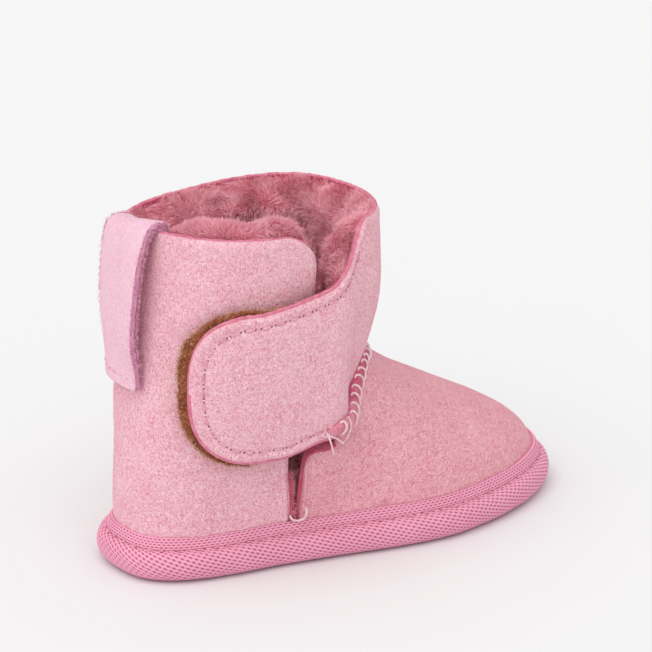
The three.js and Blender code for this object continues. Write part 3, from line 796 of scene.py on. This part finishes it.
def add_quarter():
    u = 1 - (1 - np.linspace(0, 1, 190)) ** 1.25
    u, v = u[:, None], eased(112)[None]
    angle, z = quarter_point(u, v)
    edge = np.minimum((slit_angle(z) - angle) * ARC, rim_height(angle) - z)
    low, wave = 0.55 * (1 - smooth(0, 1.5, edge)), undulation(on_shaft(angle, z))
    outer = on_shaft(angle, z, wave - low)
    inner = on_shaft(angle, z, wave - HIDE)
    verts, faces, kinds = shell(outer, inner, skip=("start",))
    piece("upper_heel_and_flap", verts, faces,
          [suede_pink, edge_pink, flesh_side_painted_shade], "suede", ["shaft_hide", "side_flap_hide"], "side_flap",
          kinds=kinds)


def add_vamp():
    half = np.concatenate([np.linspace(0, 80, 96), 80 + (SEAM_END - 80) * eased(34, 0.8)[1:]])
    angle = np.concatenate([-half[::-1], half[1:]])[:, None]
    v = eased(120, 0.35)[None]
    angle, v = np.broadcast_arrays(angle, v)
    p = vamp_point(angle, v)
    wave = 0.22 * noise(p, 15, 31) + 0.09 * noise(p, 5, 32) + 0.04 * noise(p, 1.7, 33)
    side = np.minimum((SEAM_END - np.abs(angle)) * ARC, 9)
    rolled = 0.45 * (1 - smooth(0, 1.4, side)) + 0.5 * (1 - smooth(0, 0.05, v))
    free = np.minimum((SEAM_END + angle) * ARC, mix(v * 20, 9, smooth(-74, -66, angle)))
    flange = (1 - smooth(0, 2.8, free)) * smooth(9.2, 13, p[..., 2])
    back = 1 - smooth(0, 2.2, (SEAM_END + angle) * ARC)
    below = (1 - smooth(0, 2.2, v * 20)) * smooth(-66, -74, angle)
    outer = vamp_offset(angle + 1.9 * back, v + 0.045 * below, wave - rolled + 1.5 * flange)
    inner = vamp_offset(angle, v, wave - HIDE - 0.2 * flange)
    verts, faces, kinds = shell(outer, inner, seed=3)
    piece("vamp", verts, faces[:, ::-1],
          [suede_vamp, edge_deep, flesh_side_painted_shade], "suede", ["vamp_hide"], kinds=kinds)


# ---- wool lining
def wool_piece(name, roots, lean, length, cell, rng, node, width):
    """Fibres gathered in locks. Fibres whose roots share a cell of the skin share a lock."""
    key = np.floor(roots / cell + 0.35 * noise(roots, cell * 0.8, 77)[:, None]).astype(np.int64)
    _, lock = np.unique(key, axis=0, return_inverse=True)
    lock = lock.ravel()
    count = lock.max() + 1
    middle = np.stack([np.bincount(lock, roots[:, k], count) for k in range(3)], -1)
    facing = np.stack([np.bincount(lock, lean[:, k], count) for k in range(3)], -1)
    share = np.bincount(lock, minlength=count)[:, None]
    middle, facing = middle / share, unit(facing)
    sway = unit(facing + 0.42 * rng.normal(size=(count, 3)))
    tall = np.bincount(lock, length, count) / share[:, 0] * rng.uniform(0.8, 1.08, count)
    tips = middle + sway * tall[:, None]
    own = unit(lean + 0.3 * rng.normal(size=lean.shape))
    locks = (middle[lock] * 0.4 + roots * 0.6, tips[lock] + 0.16 * (roots - middle[lock]))
    verts, faces, along, tint = strands(
        roots, own, length * rng.uniform(0.7, 1.05, len(roots)), width, rng,
        curl=0.15, locks=locks)
    tint = 0.6 * tint + 0.4 * np.repeat(rng.uniform(0, 1, count)[lock], len(tint) // len(roots))
    piece(name, verts, faces, [wool_fibre], "fleece", [node], along=along, tint=tint)


def cover(grid, normal, count, rng, weight):
    """Random places spread over a grid of points: the places, and the way out at each."""
    cross = np.cross(np.gradient(grid, axis=0), np.gradient(grid, axis=1))
    share = np.linalg.norm(cross, axis=-1) * weight
    share[-1], share[:, -1] = 0, 0
    cell = rng.choice(share.size, size=count, p=share.ravel() / share.sum())
    i, j = np.unravel_index(cell, share.shape)
    x, y = rng.uniform(size=(count, 1)), rng.uniform(size=(count, 1))

    def at(values):
        low = mix(values[i, j], values[i + 1, j], x)
        return mix(low, mix(values[i, j + 1], values[i + 1, j + 1], x), y)

    return at(grid), unit(at(normal))


def swirl(points, size, seed):
    """A direction that wanders smoothly from place to place."""
    return np.stack([noise(points, size, seed + k) for k in range(3)], -1)


MOUND_ROWS = 26  # rows of the wool's mesh that go over the rim


def lumps(points, seed):
    """The curly hills of the wool, from -1 to 1."""
    return 0.62 * noise(points, 6.5, seed) + 0.38 * noise(points, 2.8, seed + 1)


def wool_wall(name, angle_at, top, low, base, depth, rise, drop, seed, material, nodes, body, count):
    """The wool on the inside of the shaft: a mound over the rim that goes on down as a wall.
    angle_at gives the angles at each height; the other arguments are one number for each column."""
    turn = np.linspace(0.12, np.pi, MOUND_ROWS)[None]
    inward = (1 - np.cos(turn)) / 2
    down = np.linspace(0, 1, 70)[None, 1:]
    z = np.concatenate([top - 1.0 - drop * inward + (rise + 1.5) * np.sin(turn),
                        mix(top - 1.0 - drop, low, down)], 1)
    thick = np.concatenate([depth * inward, depth * mix(1, 0.8, smooth(0.5, 1, down))], 1)
    angle = angle_at(z)
    grid = on_shaft(angle, z, base - thick)
    normal = unit(np.cross(np.gradient(grid, axis=0), np.gradient(grid, axis=1)))
    if (normal[:, 60] * outward(angle)[:, 60]).sum() > 0:
        normal = -normal
    full = smooth(0, 0.3 * depth.max(), thick)
    grid = grid + normal * ((0.65 * lumps(grid, seed) - 0.1) * full)[..., None]
    verts = grid.reshape(-1, 3)
    faces = grid_faces(*grid.shape[:2])
    piece(name + "_skin", verts, faces, [wool_skin_painted_shade], "fleece", nodes, body)

    rng = np.random.default_rng(seed)
    rows = np.arange(z.shape[1])[None]
    weight = np.where(rows < MOUND_ROWS, 1.0, 1 - 0.9 * smooth(38, 56, rows)) * np.ones_like(z)
    roots, facing = cover(grid, normal, count, rng, weight)
    flow = swirl(roots, 4.2, seed + 10) * 1.4 + swirl(roots, 1.5, seed + 20) * 0.35
    lean = unit(0.5 * facing + flow + 0.2 * rng.normal(size=roots.shape))
    lean = unit(lean + facing * np.maximum(0.15 - (lean * facing).sum(-1, keepdims=True), 0))
    length = rng.uniform(1.3, 2.4, count) * (1 + 0.25 * noise(roots, 5, seed + 30))
    verts, faces, along, tint = strands(roots - 0.25 * facing, lean, length, 0.115, rng,
                                        curl=0.12, wave=1.1)
    # Fibres on the wool's hills are tinted paler and those in its hollows deeper: painted light and shade.
    painted_hill_shade = np.repeat(0.5 + 0.5 * lumps(roots, seed), len(tint) // count)
    piece(name, verts, faces,
          [material], "fleece", nodes, body, along=along, tint=0.55 * tint + 0.45 * painted_hill_shade)


def add_front_wool():
    angle = np.linspace(PART_SEAM, HINGE + 1.2, 150)[:, None]
    end = np.clip((angle - HINGE - 1.2) * ARC / 4, 0.02, 1)
    shape = np.sqrt(1 - (1 - end) ** 2)
    low = np.maximum(strip_low(np.minimum(angle, 82)) + 1, 13.5)
    wool_wall("wool_front", lambda z: angle + 0 * z, strip_high(angle), low,
              strap_lift(angle) - HIDE - 0.2, 7.2 * shape, -0.5 * shape, 4.5, 41, wool_fibre,
              ["shaft_fleece"], "root", 38000)


def add_quarter_wool():
    u = np.linspace(0, 1, 190)[:, None]
    flat = mix(PART_SEAM, slit_angle(RIM) - 1.5, u)
    end = np.clip((1 - u) * (slit_angle(RIM) - PART_SEAM) * ARC / 5, 0.02, 1)
    shape = np.sqrt(1 - (1 - end) ** 2)
    behind_tab = smooth(25, 18, np.abs(flat - TAB_MIDDLE))
    near = smooth(185, 205, flat)
    wool_wall("wool_heel_and_flap", lambda z: mix(PART_SEAM, slit_angle(z) - 1.5, u),
              rim_height(flat) - corner_drop(flat), np.full_like(u, 14.0),
              -HIDE - 0.2 - (TAB_THICK + 0.5) * behind_tab,
              (7.4 + 2.6 * near) * shape * mix(1, 0.72, behind_tab),
              mix(-0.5, 2.8, near) * shape - 0.8 * behind_tab, mix(4.5, 2.5, near), 51, wool_pale,
              ["shaft_fleece", "side_flap_fleece"], "side_flap", 44000)


def add_toe_wool():
    rng = np.random.default_rng(61)
    angle = np.linspace(-84, 84, 90)[:, None]
    v = np.linspace(0.03, 0.86, 60)[None]
    angle, v = np.broadcast_arrays(angle, v)
    p = vamp_point(angle, v)
    depth = 3.0 + 0.8 * noise(p, 5, 62) + 0.4 * noise(p, 2, 63)
    outer = vamp_offset(angle, v, -HIDE - 0.3)
    inner = vamp_offset(angle, v, -HIDE - 0.3 - depth)
    inner[..., 2] = np.maximum(inner[..., 2], 12.6)
    outer[..., 2] = np.maximum(outer[..., 2], 12.4)
    verts, faces, _ = shell(outer, inner, bulge=0.5, rough=0.2)
    piece("wool_toe_skin", verts, faces[:, ::-1], [wool_skin_painted_shade], "fleece", ["vamp_fleece"])

    count = 9000
    a, t = rng.uniform(-82, 82, count), rng.uniform(0.04, 0.8, count) ** 1.1
    roots = vamp_offset(a, t, -HIDE - 0.3)
    lean = -vamp_normal(a, t)
    length = np.full(count, 5.6)
    length = np.minimum(length, np.maximum((roots[:, 2] - 12.8) / np.maximum(-lean[:, 2], 0.1), 1.2))
    wool_piece("wool_toe", roots, lean, length, 3.1, rng, "vamp_fleece", 0.24)

    count = 12000
    turn, share = rng.uniform(0, 2 * np.pi, count), np.sqrt(rng.uniform(0.0, 1, count)) * 0.97
    edge = sole_inset(turn, 8.6)
    flat = mix(SOLE_MIDDLE, edge, share[:, None])
    roots = np.concatenate([flat, np.full((count, 1), 11.4)], 1)
    lean = np.tile([0.0, 0.0, 1.0], (count, 1)) + 0.25 * rng.normal(size=(count, 3))
    wool_piece("wool_insole", roots, unit(lean), np.full(count, 3.6), 3.1, rng, "insole_fleece", 0.26)


def add_slit_wool():
    """Tufts of the lining that show low down in the slit beside the vamp's free edge."""
    rng = np.random.default_rng(67)
    count = 4200
    z = 10.2 + 12 * rng.uniform(size=count) ** 1.35
    a = slit_angle(z) - 360 + rng.uniform(-2.5, 3.2, count)
    roots = on_shaft(a, z, -1.9 + 0.4 * noise(on_shaft(a, z), 2.0, 68))
    lean = unit(outward(a) + 0.5 * swirl(roots, 2.2, 69) + 0.3 * rng.normal(size=roots.shape))
    verts, faces, along, tint = strands(roots, lean, rng.uniform(1.0, 1.9, count), 0.12, rng)
    # The tufts take the deeper wool: painted shade in the slit.
    piece("wool_slit", verts, faces, [wool_fibre_in_shade], "fleece", ["vamp_fleece"], along=along, tint=tint)


# ---- strap pad and closure patch
PAD_MARGIN, PAD_LOW, PAD_HIGH, PAD_RISE = 2.0, 1.7, 3.1, 0.6


def pad_edge(angle, v):
    low = strap_bottom(angle, -PAD_MARGIN) + 2 * PAD_RISE + 2.4 * smooth(-128, -108, angle)
    shown = mix(PAD_RISE, -PAD_MARGIN - 0.5, smooth(-138, -99, angle)) - 1.3 * smooth(-153, -146, angle)
    shown = shown - 0.7 * smooth(-152, -145, angle) * smooth(-122, -134, angle)
    high = strap_top(angle, -PAD_MARGIN) + shown
    return mix(low, high, v)


def add_pad():
    rng = np.random.default_rng(71)
    tip = STRAP_TIP - PAD_MARGIN / ARC
    angle = np.concatenate([np.linspace(-90, STRAP_BEND, 70), rounded_end(tip, 88, 60)])[:, None]
    v = eased(90, 0.6)[None]
    z = pad_edge(angle, v)
    wander = 0.25 * noise(on_shaft(angle, z), 3, 72)
    felt = 0.2 * noise(on_shaft(angle, z), 0.8, 73)
    outer = on_shaft(angle, z, PAD_HIGH + wander + felt)
    inner = on_shaft(angle, z, PAD_LOW + wander - felt)
    verts, faces, _ = shell(outer, inner, bulge=0.35, rough=0.5, seed=7)
    piece("strap_pad", verts, faces[:, ::-1], [pad_felt], "grip_pad", ["strap_grip_pad"], "strap")

    # fuzz along the rim of the pad and on its inner face
    count = 15000
    along = rng.uniform(0, 1, count)
    a = np.interp(along, np.linspace(0, 1, len(angle)), angle[:, 0])
    rim = rng.uniform(size=count) < 0.62
    side = np.where(rng.uniform(size=count) < 0.5, 0.0, 1.0)
    v = np.where(rim, np.abs(side - rng.uniform(0, 1, count) ** 2 * 0.10), rng.uniform(0, 1, count))
    tip_part = rng.uniform(size=count) < 0.28
    a = np.where(tip_part & rim, mix(-138, tip + 0.4, rng.uniform(size=count) ** 0.6), a)
    v = np.where(tip_part & rim, rng.uniform(0, 1, count), v)
    z = pad_edge(a, v)
    depth = rng.uniform(0, 1, count)
    roots = on_shaft(a, z, mix(PAD_LOW, PAD_HIGH, np.where(rim, depth, 0.05)))
    radial = outward(a)
    away = sideways(a) * ((STRAP_BEND - a) * -ARC * (a < STRAP_BEND))[:, None]
    away[:, 2] = z - STRAP_MIDDLE
    lean = np.where(rim[:, None], unit(away) + 0.25 * radial, -radial)
    lean = unit(lean + 0.55 * rng.normal(size=(count, 3)))
    length = np.where(rim, rng.uniform(0.5, 1.5, count), rng.uniform(0.3, 0.9, count))
    verts, faces, t, tint = strands(roots, lean, length, 0.13, rng, curl=0.25, wave=2.2)
    piece("strap_pad_fuzz", verts, faces,
          [pad_fibre], "grip_pad", ["strap_grip_pad"], "strap", along=t, tint=tint)

    angle = np.linspace(-98, -126, 50)[:, None]
    z = mix(45, 65, eased(40)[None])
    loops = 0.12 * noise(on_shaft(angle, z), 0.6, 74)
    wave = undulation(on_shaft(angle + 360, z))
    outer, inner = on_shaft(angle, z, 1.0 + wave + loops), on_shaft(angle, z, 0.3 + wave + 0 * z)
    verts, faces, _ = shell(outer, inner, bulge=0.1, rough=0.2)
    piece("closure_patch_loops", verts, faces[:, ::-1],
          [patch_loop], "closure_patch", ["closure_patch"], "side_flap")


# ---- seams and stitches
def strap_surface(angle, z, above=0.0):
    wave = undulation(on_shaft(angle, z))
    return on_shaft(angle, z, strap_lift(angle) + wave + above)


def add_strap_stitch():
    inset, pitch, dash = 3.0, 3.5, 2.35
    tip = STRAP_TIP + inset / ARC
    angle = np.concatenate([np.linspace(-62, STRAP_BEND, 240), rounded_end(tip, 90, 160)])
    upper = np.stack([angle, strap_top(angle, inset)], -1)
    lower = np.stack([angle, strap_bottom(angle, inset)], -1)[angle < -79]
    line = np.concatenate([upper, lower[::-1]])
    surface = strap_surface(line[:, 0], line[:, 1])
    far = distances(surface)
    rng = np.random.default_rng(81)
    dashes, holes = [], []
    for start in np.arange(1.0, far[-1] - dash, pitch):
        start = start + rng.uniform(-0.15, 0.15)
        s = np.linspace(start, start + dash, 15)
        a, z = np.interp(s, far, line[:, 0]), np.interp(s, far, line[:, 1])
        arch = np.sin(np.linspace(0, np.pi, 15)) ** 0.6
        dashes.append(strap_surface(a, z, mix(-0.75, -0.18, arch)))
        for end in (0, -1):
            hole, out = strap_surface(a[[end]], z[[end]])[0], outward(a[end])
            holes.append(np.stack([hole - out * depth for depth in (0.9, 0.45, 0.3, 0.26)]))
    threads("strap_running_stitch", dashes, 0.3, 1.5, thread_pink, "strap_edge_stitch", "strap")
    # Short dark tubes sunk at both ends of each dash: painted shade in the stitch holes.
    verts, faces = sweep(holes, lambda far: np.full((len(far), 8), 0.30))
    piece("strap_stitch_hole_shade", verts, faces, [stitch_hole_shade], "thread", ["strap_edge_stitch"], "strap")


def ridge_point(angle, share, swell=1.0):
    """A point of the throat's turned-out edge: share 0 lies on the shaft and 1 on the vamp."""
    angle, share = np.broadcast_arrays(np.asarray(angle, float), share)
    low = strip_low(angle)
    slope = (strip_low(angle + 3) - strip_low(angle - 3)) / (6 * ARC)
    wide = 0.5 + 1.2 * smooth(-40, -58, angle) + 2.4 * smooth(-56, -72, angle)
    wide = (wide - 1.2 * smooth(-79, -87, angle)) / np.hypot(slope, 1)
    back = angle - slope * wide / ARC
    lift = np.where(back < 0, strap_lift(back), 0)
    upper = on_shaft(back, low + wide, lift - 0.25)
    reach = mix(0.035, 0.09, smooth(-42, -62, angle))
    at_vamp = vamp_offset(np.maximum(angle, -78), reach, -0.1)
    at_strap = on_shaft(angle, low - 0.5, lift - 1.2)
    lower = mix(at_vamp, at_strap, smooth(-74, -80, angle)[..., None])
    out = unit(outward(angle) + [0, 0, 0.25])
    arch = np.sin(np.pi * share) ** 0.6
    tall = mix(0.5, 2.1, smooth(-38, -62, angle)) * (1 - 0.5 * smooth(-78, -87, angle))
    return mix(upper, lower, share[..., None]) + out * (swell * tall * arch)[..., None]


def ridge_material():
    """The turned-out edge: deep pink in front, paler and more like suede low at the side."""
    m = Material("throat_edge", 0.95, 0.1, sheen=0.25, sheen_tint=HIDE_LIGHT)
    rest = m.attribute("rest")
    place = m.node("ShaderNodeSeparateXYZ")
    m.link(rest, place.inputs[0])
    paler = m.math("MULTIPLY", m.math("SUBTRACT", 41.0, place.outputs["Z"]), 0.09, clamp=True)
    fibre = m.noise(rest, 0.45, 3, 0.7, 1.0)
    band = m.noise(m.scaled(rest, (1, 1, 0.6)), 1.5)
    tone = m.weighted((fibre, 0.6), (band, 0.4))
    deep = m.ramp(tone, (0.38, "#ba4664"), (0.62, "#e4829a"))
    pale = m.ramp(tone, (0.38, "#d4788e"), (0.60, "#f5b4c1"))
    m.colour(m.blend(paler, deep, pale))
    return m.bump(fibre, 0.8, 0.4)


def add_throat():
    angle = np.linspace(HINGE - 7, 81.5, 470)[:, None]
    share = np.linspace(0, 1, 19)[None]
    face = ridge_point(angle, share)
    face = face + outward(angle) * (0.08 * noise(face, 0.9, 91) + 0.14 * noise(face, 3, 92))[..., None]
    under = ridge_point(angle, share[:, ::-1], -0.7)
    points = np.concatenate([face, under[:, 1:-1]], 1)
    points[0] = points[0].mean(0)
    verts = points.reshape(-1, 3)
    faces = grid_faces(len(angle), points.shape[1], wrap=True)
    piece("throat_ridge", verts, faced_out(verts, faces),
          [ridge_material()], "cut_edge", ["throat_whip_stitch"], "strap")

    rng = np.random.default_rng(93)
    dense = np.linspace(HINGE - 1.5, 78, 900)
    middle = ridge_point(dense, np.full(900, 0.5))
    far = distances(middle)
    arcs = []
    s = 0.2
    while s < far[-1]:
        a = np.interp(s + rng.uniform(-0.2, 0.2), far, dense)
        s += 2.35 + 1.9 * smooth(-70, -77, a)
        share = np.array([0.05, 0.08, 0.15, 0.28, 0.45, 0.7, 0.9])
        turn = np.array([0.0, 0.5, 1.1, 1.5, 1.5, 0.9, 0.0])
        above = np.array([-0.3, 0.24, 0.28, 0.28, 0.28, 0.24, -0.3])
        p = ridge_point(a + turn, share)
        p = p + unit(p - ridge_point(a + turn, np.full(7, 0.4), 0.0)) * above[:, None]
        arcs.append(curve(p, 0.12))
    threads("throat_whip_arcs", arcs, 0.27, 1.6, thread_pale, "throat_whip_stitch", "strap")


def add_tails():
    a = HINGE - 8.0
    knot = on_shaft(a, strip_low(np.array(a)) + 1.9, strap_lift(a) + 0.55)
    out, side = outward(a), np.array([0.95, 0.3, 0.0])
    k = np.linspace(0, 7, 18)
    paths = [curve(knot + 0.32 * np.stack([np.cos(k), 0.4 * np.sin(2 * k), np.sin(k)], -1), 0.1)]
    tails = (  # outwards, to the side and upwards from the knot, twice for each thread end
        ((0.7, 0.5, -2.0), (0.8, 1.4, -5.0)),
        ((0.7, 2.2, -1.1), (0.6, 5.4, -3.4)),
        ((0.2, -0.3, 0.4), (-0.1, -0.5, 0.9)),
    )
    for tail in tails:
        paths.append(curve([knot] + [knot + out * x + side * y + [0, 0, z] for x, y, z in tail], 0.12))
    threads("thread_knot_and_tails", paths, 0.2, 1.2, thread_pale, "thread_tails", "strap")


def add_side_seam():
    """The whip stitch down the inner side, and the tack at the slit's foot."""
    a = SEAM_END - 0.2
    arch = ((3.2, 0, -0.4), (2.6, 0, 0.42), (0, 0.35, 0.65), (-2.8, 0.7, 0.42), (-3.4, 0.7, -0.5))
    arcs = []
    for z in np.arange(12.2, 27.5, 2.3):
        arcs.append(curve([on_shaft(a + turn, z - fall, off) for turn, fall, off in arch], 0.12))
    threads("side_whip_arcs", arcs, 0.33, 1.8, thread_pale, "vamp_side_stitch")

    tack = [  # angle, height, off the surface
        (-98.8, 11.7, 0.0), (-98.4, 11.0, 0.7), (-96.6, 10.6, 1.0), (-94.0, 10.8, 1.7),
        (-91.8, 11.6, 2.0), (-90.2, 13.0, 1.3), (-89.8, 13.7, -0.2),
    ]
    path = curve([on_shaft(*place) for place in tack], 0.12)
    threads("slit_tack", [path], 0.27, 1.6, thread_pale, "slit_bar_tack")


def add_rand_thread():
    """Short bits of the sewing thread that show in the tape's crease, all the way round."""
    rng = np.random.default_rng(95)
    turns, length = even_turns(3000)
    s = np.arange(3000) / 3000 * length
    bits = []
    for start in np.arange(0, length - 3, 4.1):
        span = rng.uniform(0.5, 1.1)
        far = start + rng.uniform(0, 1.5) + np.linspace(0, span, 9)
        arch = np.sin(np.linspace(0, np.pi, 9))
        p = sole_inset(np.interp(far, s, turns), mix(2.15, 1.72, arch))
        bits.append(np.concatenate([p, (CREASE_Z + 0.1 + 0.25 * arch)[:, None]], 1))
    threads("rand_thread_bits", bits, 0.2, 1.2, thread_pink, "rand_stitch")


# ---- pull tab
def tab_line(count):
    rim = rim_height(TAB_MIDDLE)
    half = TAB_THICK / 2
    points = [
        (0.3 + half, 45), (1.6, 48.5), (2.9, 57), (3.2, 67), (2.7, 77), (1.6, rim + 0.8),
        (-0.9, rim + 1.4), (-HIDE - 0.3 - half, rim - 0.4), (-HIDE - 0.3 - half, 70),
    ]
    line = curve(points, 0.1)
    far = distances(line)
    s = np.linspace(0, far[-1], count)
    line = np.stack([np.interp(s, far, line[:, 0]), np.interp(s, far, line[:, 1])], -1)
    return line, unit(np.gradient(line, axis=0))


def tab_point(angle, off, z, depth, slope_x, slope_z):
    """A point that deep in the loop. The loop leans with the rim that it is folded over, and its
    outer side stands further off the shaft towards the heel."""
    height = z - depth * slope_x
    rim = rim_height(angle)
    gap = 1.5 * smooth(171, 188, angle) * smooth(46, 58, height) * smooth(rim + 1, 70, height)
    tilt = (rim - rim_height(TAB_MIDDLE)) * smooth(55, 76, height)
    return on_shaft(angle, height + tilt, off + depth * slope_z + gap * (off > 0))


def add_tab():
    line, along = tab_line(230)
    v = eased(76, 0.6)
    angle = mix(TAB_MIDDLE - TAB_HALF, TAB_MIDDLE + TAB_HALF, v)[None]
    edge = np.minimum(v, 1 - v)[None] * 2 * TAB_HALF * ARC
    faces_of = []
    for side in (0.5, -0.5):
        off, z = line[:, 0:1], line[:, 1:2]
        p = on_shaft(angle, z + 0 * angle, off + 0 * angle)
        wave = 0.18 * noise(p, 9, 101) + 0.05 * noise(p, 2.5, 102)
        thick = side * TAB_THICK - side * 0.5 * (1 - smooth(0, 1.0, edge)) + wave
        faces_of.append(tab_point(angle, off, z, thick, along[:, 0:1], along[:, 1:2]))
    verts, faces, kinds = shell(faces_of[0], faces_of[1], bulge=0.25, rough=0.35, seed=9)
    kinds = np.where(kinds == 2, 0, kinds)
    piece("pull_tab_loop", verts, faced_out(verts, faces),
          [tab_skin, tab_edge], "tab_suede", ["pull_tab"], kinds=kinds)

    # the cut sides fray
    rng = np.random.default_rng(103)
    count = 7600
    at, steps = rng.uniform(0, len(line) - 1.01, count), np.arange(len(line))
    off, z, tx, tz = (np.interp(at, steps, column) for column in (*line.T, *along.T))
    depth = rng.choice([-0.9, 0.9], count) * rng.uniform(0.5, 1.0, count)
    end = np.where(rng.uniform(size=count) < 0.5, -1.0, 1.0)
    a = TAB_MIDDLE + end * (TAB_HALF + 0.1)
    roots = tab_point(a, off, z, depth, tx, tz)
    lean = unit(sideways(a) * end[:, None] + 0.7 * rng.normal(size=(count, 3)) + [0, 0, -0.25])
    verts, faces, t, tint = strands(roots, lean, rng.uniform(0.3, 1.0, count), 0.11, rng, curl=0.3)
    piece("pull_tab_fray", verts, faces,
          [tab_fray], "tab_suede", ["pull_tab"], along=t, tint=tint)

    stitches = []
    for a in np.arange(TAB_MIDDLE - TAB_HALF + 2.5, TAB_MIDDLE + TAB_HALF - 3.5, 4.6):
        arch = ((0, 1.2), (0.5, 2.25), (1.8, 2.35), (3.2, 2.25), (3.7, 1.2))
        stitches.append(curve([on_shaft(a + along, 47.2, off) for along, off in arch], 0.12))
    threads("pull_tab_thread", stitches, 0.28, 1.5, thread_pink, "pull_tab_stitch")


add_sole()
add_front_strip()
add_quarter()
add_vamp()
add_front_wool()
add_quarter_wool()
add_toe_wool()
add_slit_wool()
add_pad()
add_strap_stitch()
add_throat()
add_tails()
add_side_seam()
add_rand_thread()
add_tab()


# ---- floor, light and camera
def floor_material():
    m = Material("floor_paper", 0.9, 0.1)
    patches = m.noise(m.attribute("rest"), 40)
    m.colour(m.ramp(patches, (0.3, (0.812, 0.816, 0.816, 1)), (0.7, (0.816, 0.820, 0.820, 1))))
    return m.material


def add_stage():
    side = np.linspace(-3000, 3000, 41)
    x, y = np.meshgrid(side, side, indexing="ij")
    verts = np.stack([x, y, np.full_like(x, -0.02)], -1).reshape(-1, 3)
    floor = add_mesh("floor", verts, grid_faces(41, 41))
    floor.data.materials.append(floor_material())


def add_sun(name, towards, softness, strength):
    data = bpy.data.lights.new(name, "SUN")
    data.angle, data.energy = math.radians(softness), strength
    light = bpy.data.objects.new(name, data)
    bpy.context.scene.collection.objects.link(light)
    light.rotation_mode = "QUATERNION"
    light.rotation_quaternion = Vector(towards).normalized().to_track_quat("Z", "Y")


TURN, TILT = math.radians(36), 0.357  # the viewing direction
FOCAL_LENGTH, DISTANCE, AIM_RIGHT, AIM_UP = 232.67, 1000, 0.66, 43.98  # mm
back = Vector((-math.sin(TURN) * math.cos(TILT), -math.cos(TURN) * math.cos(TILT), math.sin(TILT)))
right = Vector((math.cos(TURN), -math.sin(TURN), 0))
up = Vector((math.sin(TURN) * math.sin(TILT), math.cos(TURN) * math.sin(TILT), math.cos(TILT)))

add_stage()
add_sun("key", back * 0.85 + up * 0.85 - right * 0.2, 60, 1.04)
add_sun("fill", back * 0.8 + up * 0.15 - right * 0.5, 80, 0.48)
world = bpy.data.worlds.new("studio")
bpy.context.scene.world = world
world.use_nodes = True
world.node_tree.nodes["Background"].inputs["Color"].default_value = (1, 1, 1, 1)
world.node_tree.nodes["Background"].inputs["Strength"].default_value = 0.77
bpy.context.scene.view_settings.view_transform = "Standard"

camera_data = bpy.data.cameras.new("camera")
camera_data.sensor_width, camera_data.lens = 36, FOCAL_LENGTH
camera_data.clip_start, camera_data.clip_end = 0.05, 20
camera = bpy.data.objects.new("camera", camera_data)
bpy.context.scene.collection.objects.link(camera)
camera.location = (right * AIM_RIGHT + up * AIM_UP + back * DISTANCE + Vector((0, -0.378, 0))) / 1000
camera.rotation_mode = "QUATERNION"
camera.rotation_quaternion = back.to_track_quat("Z", "Y")
bpy.context.scene.camera = camera
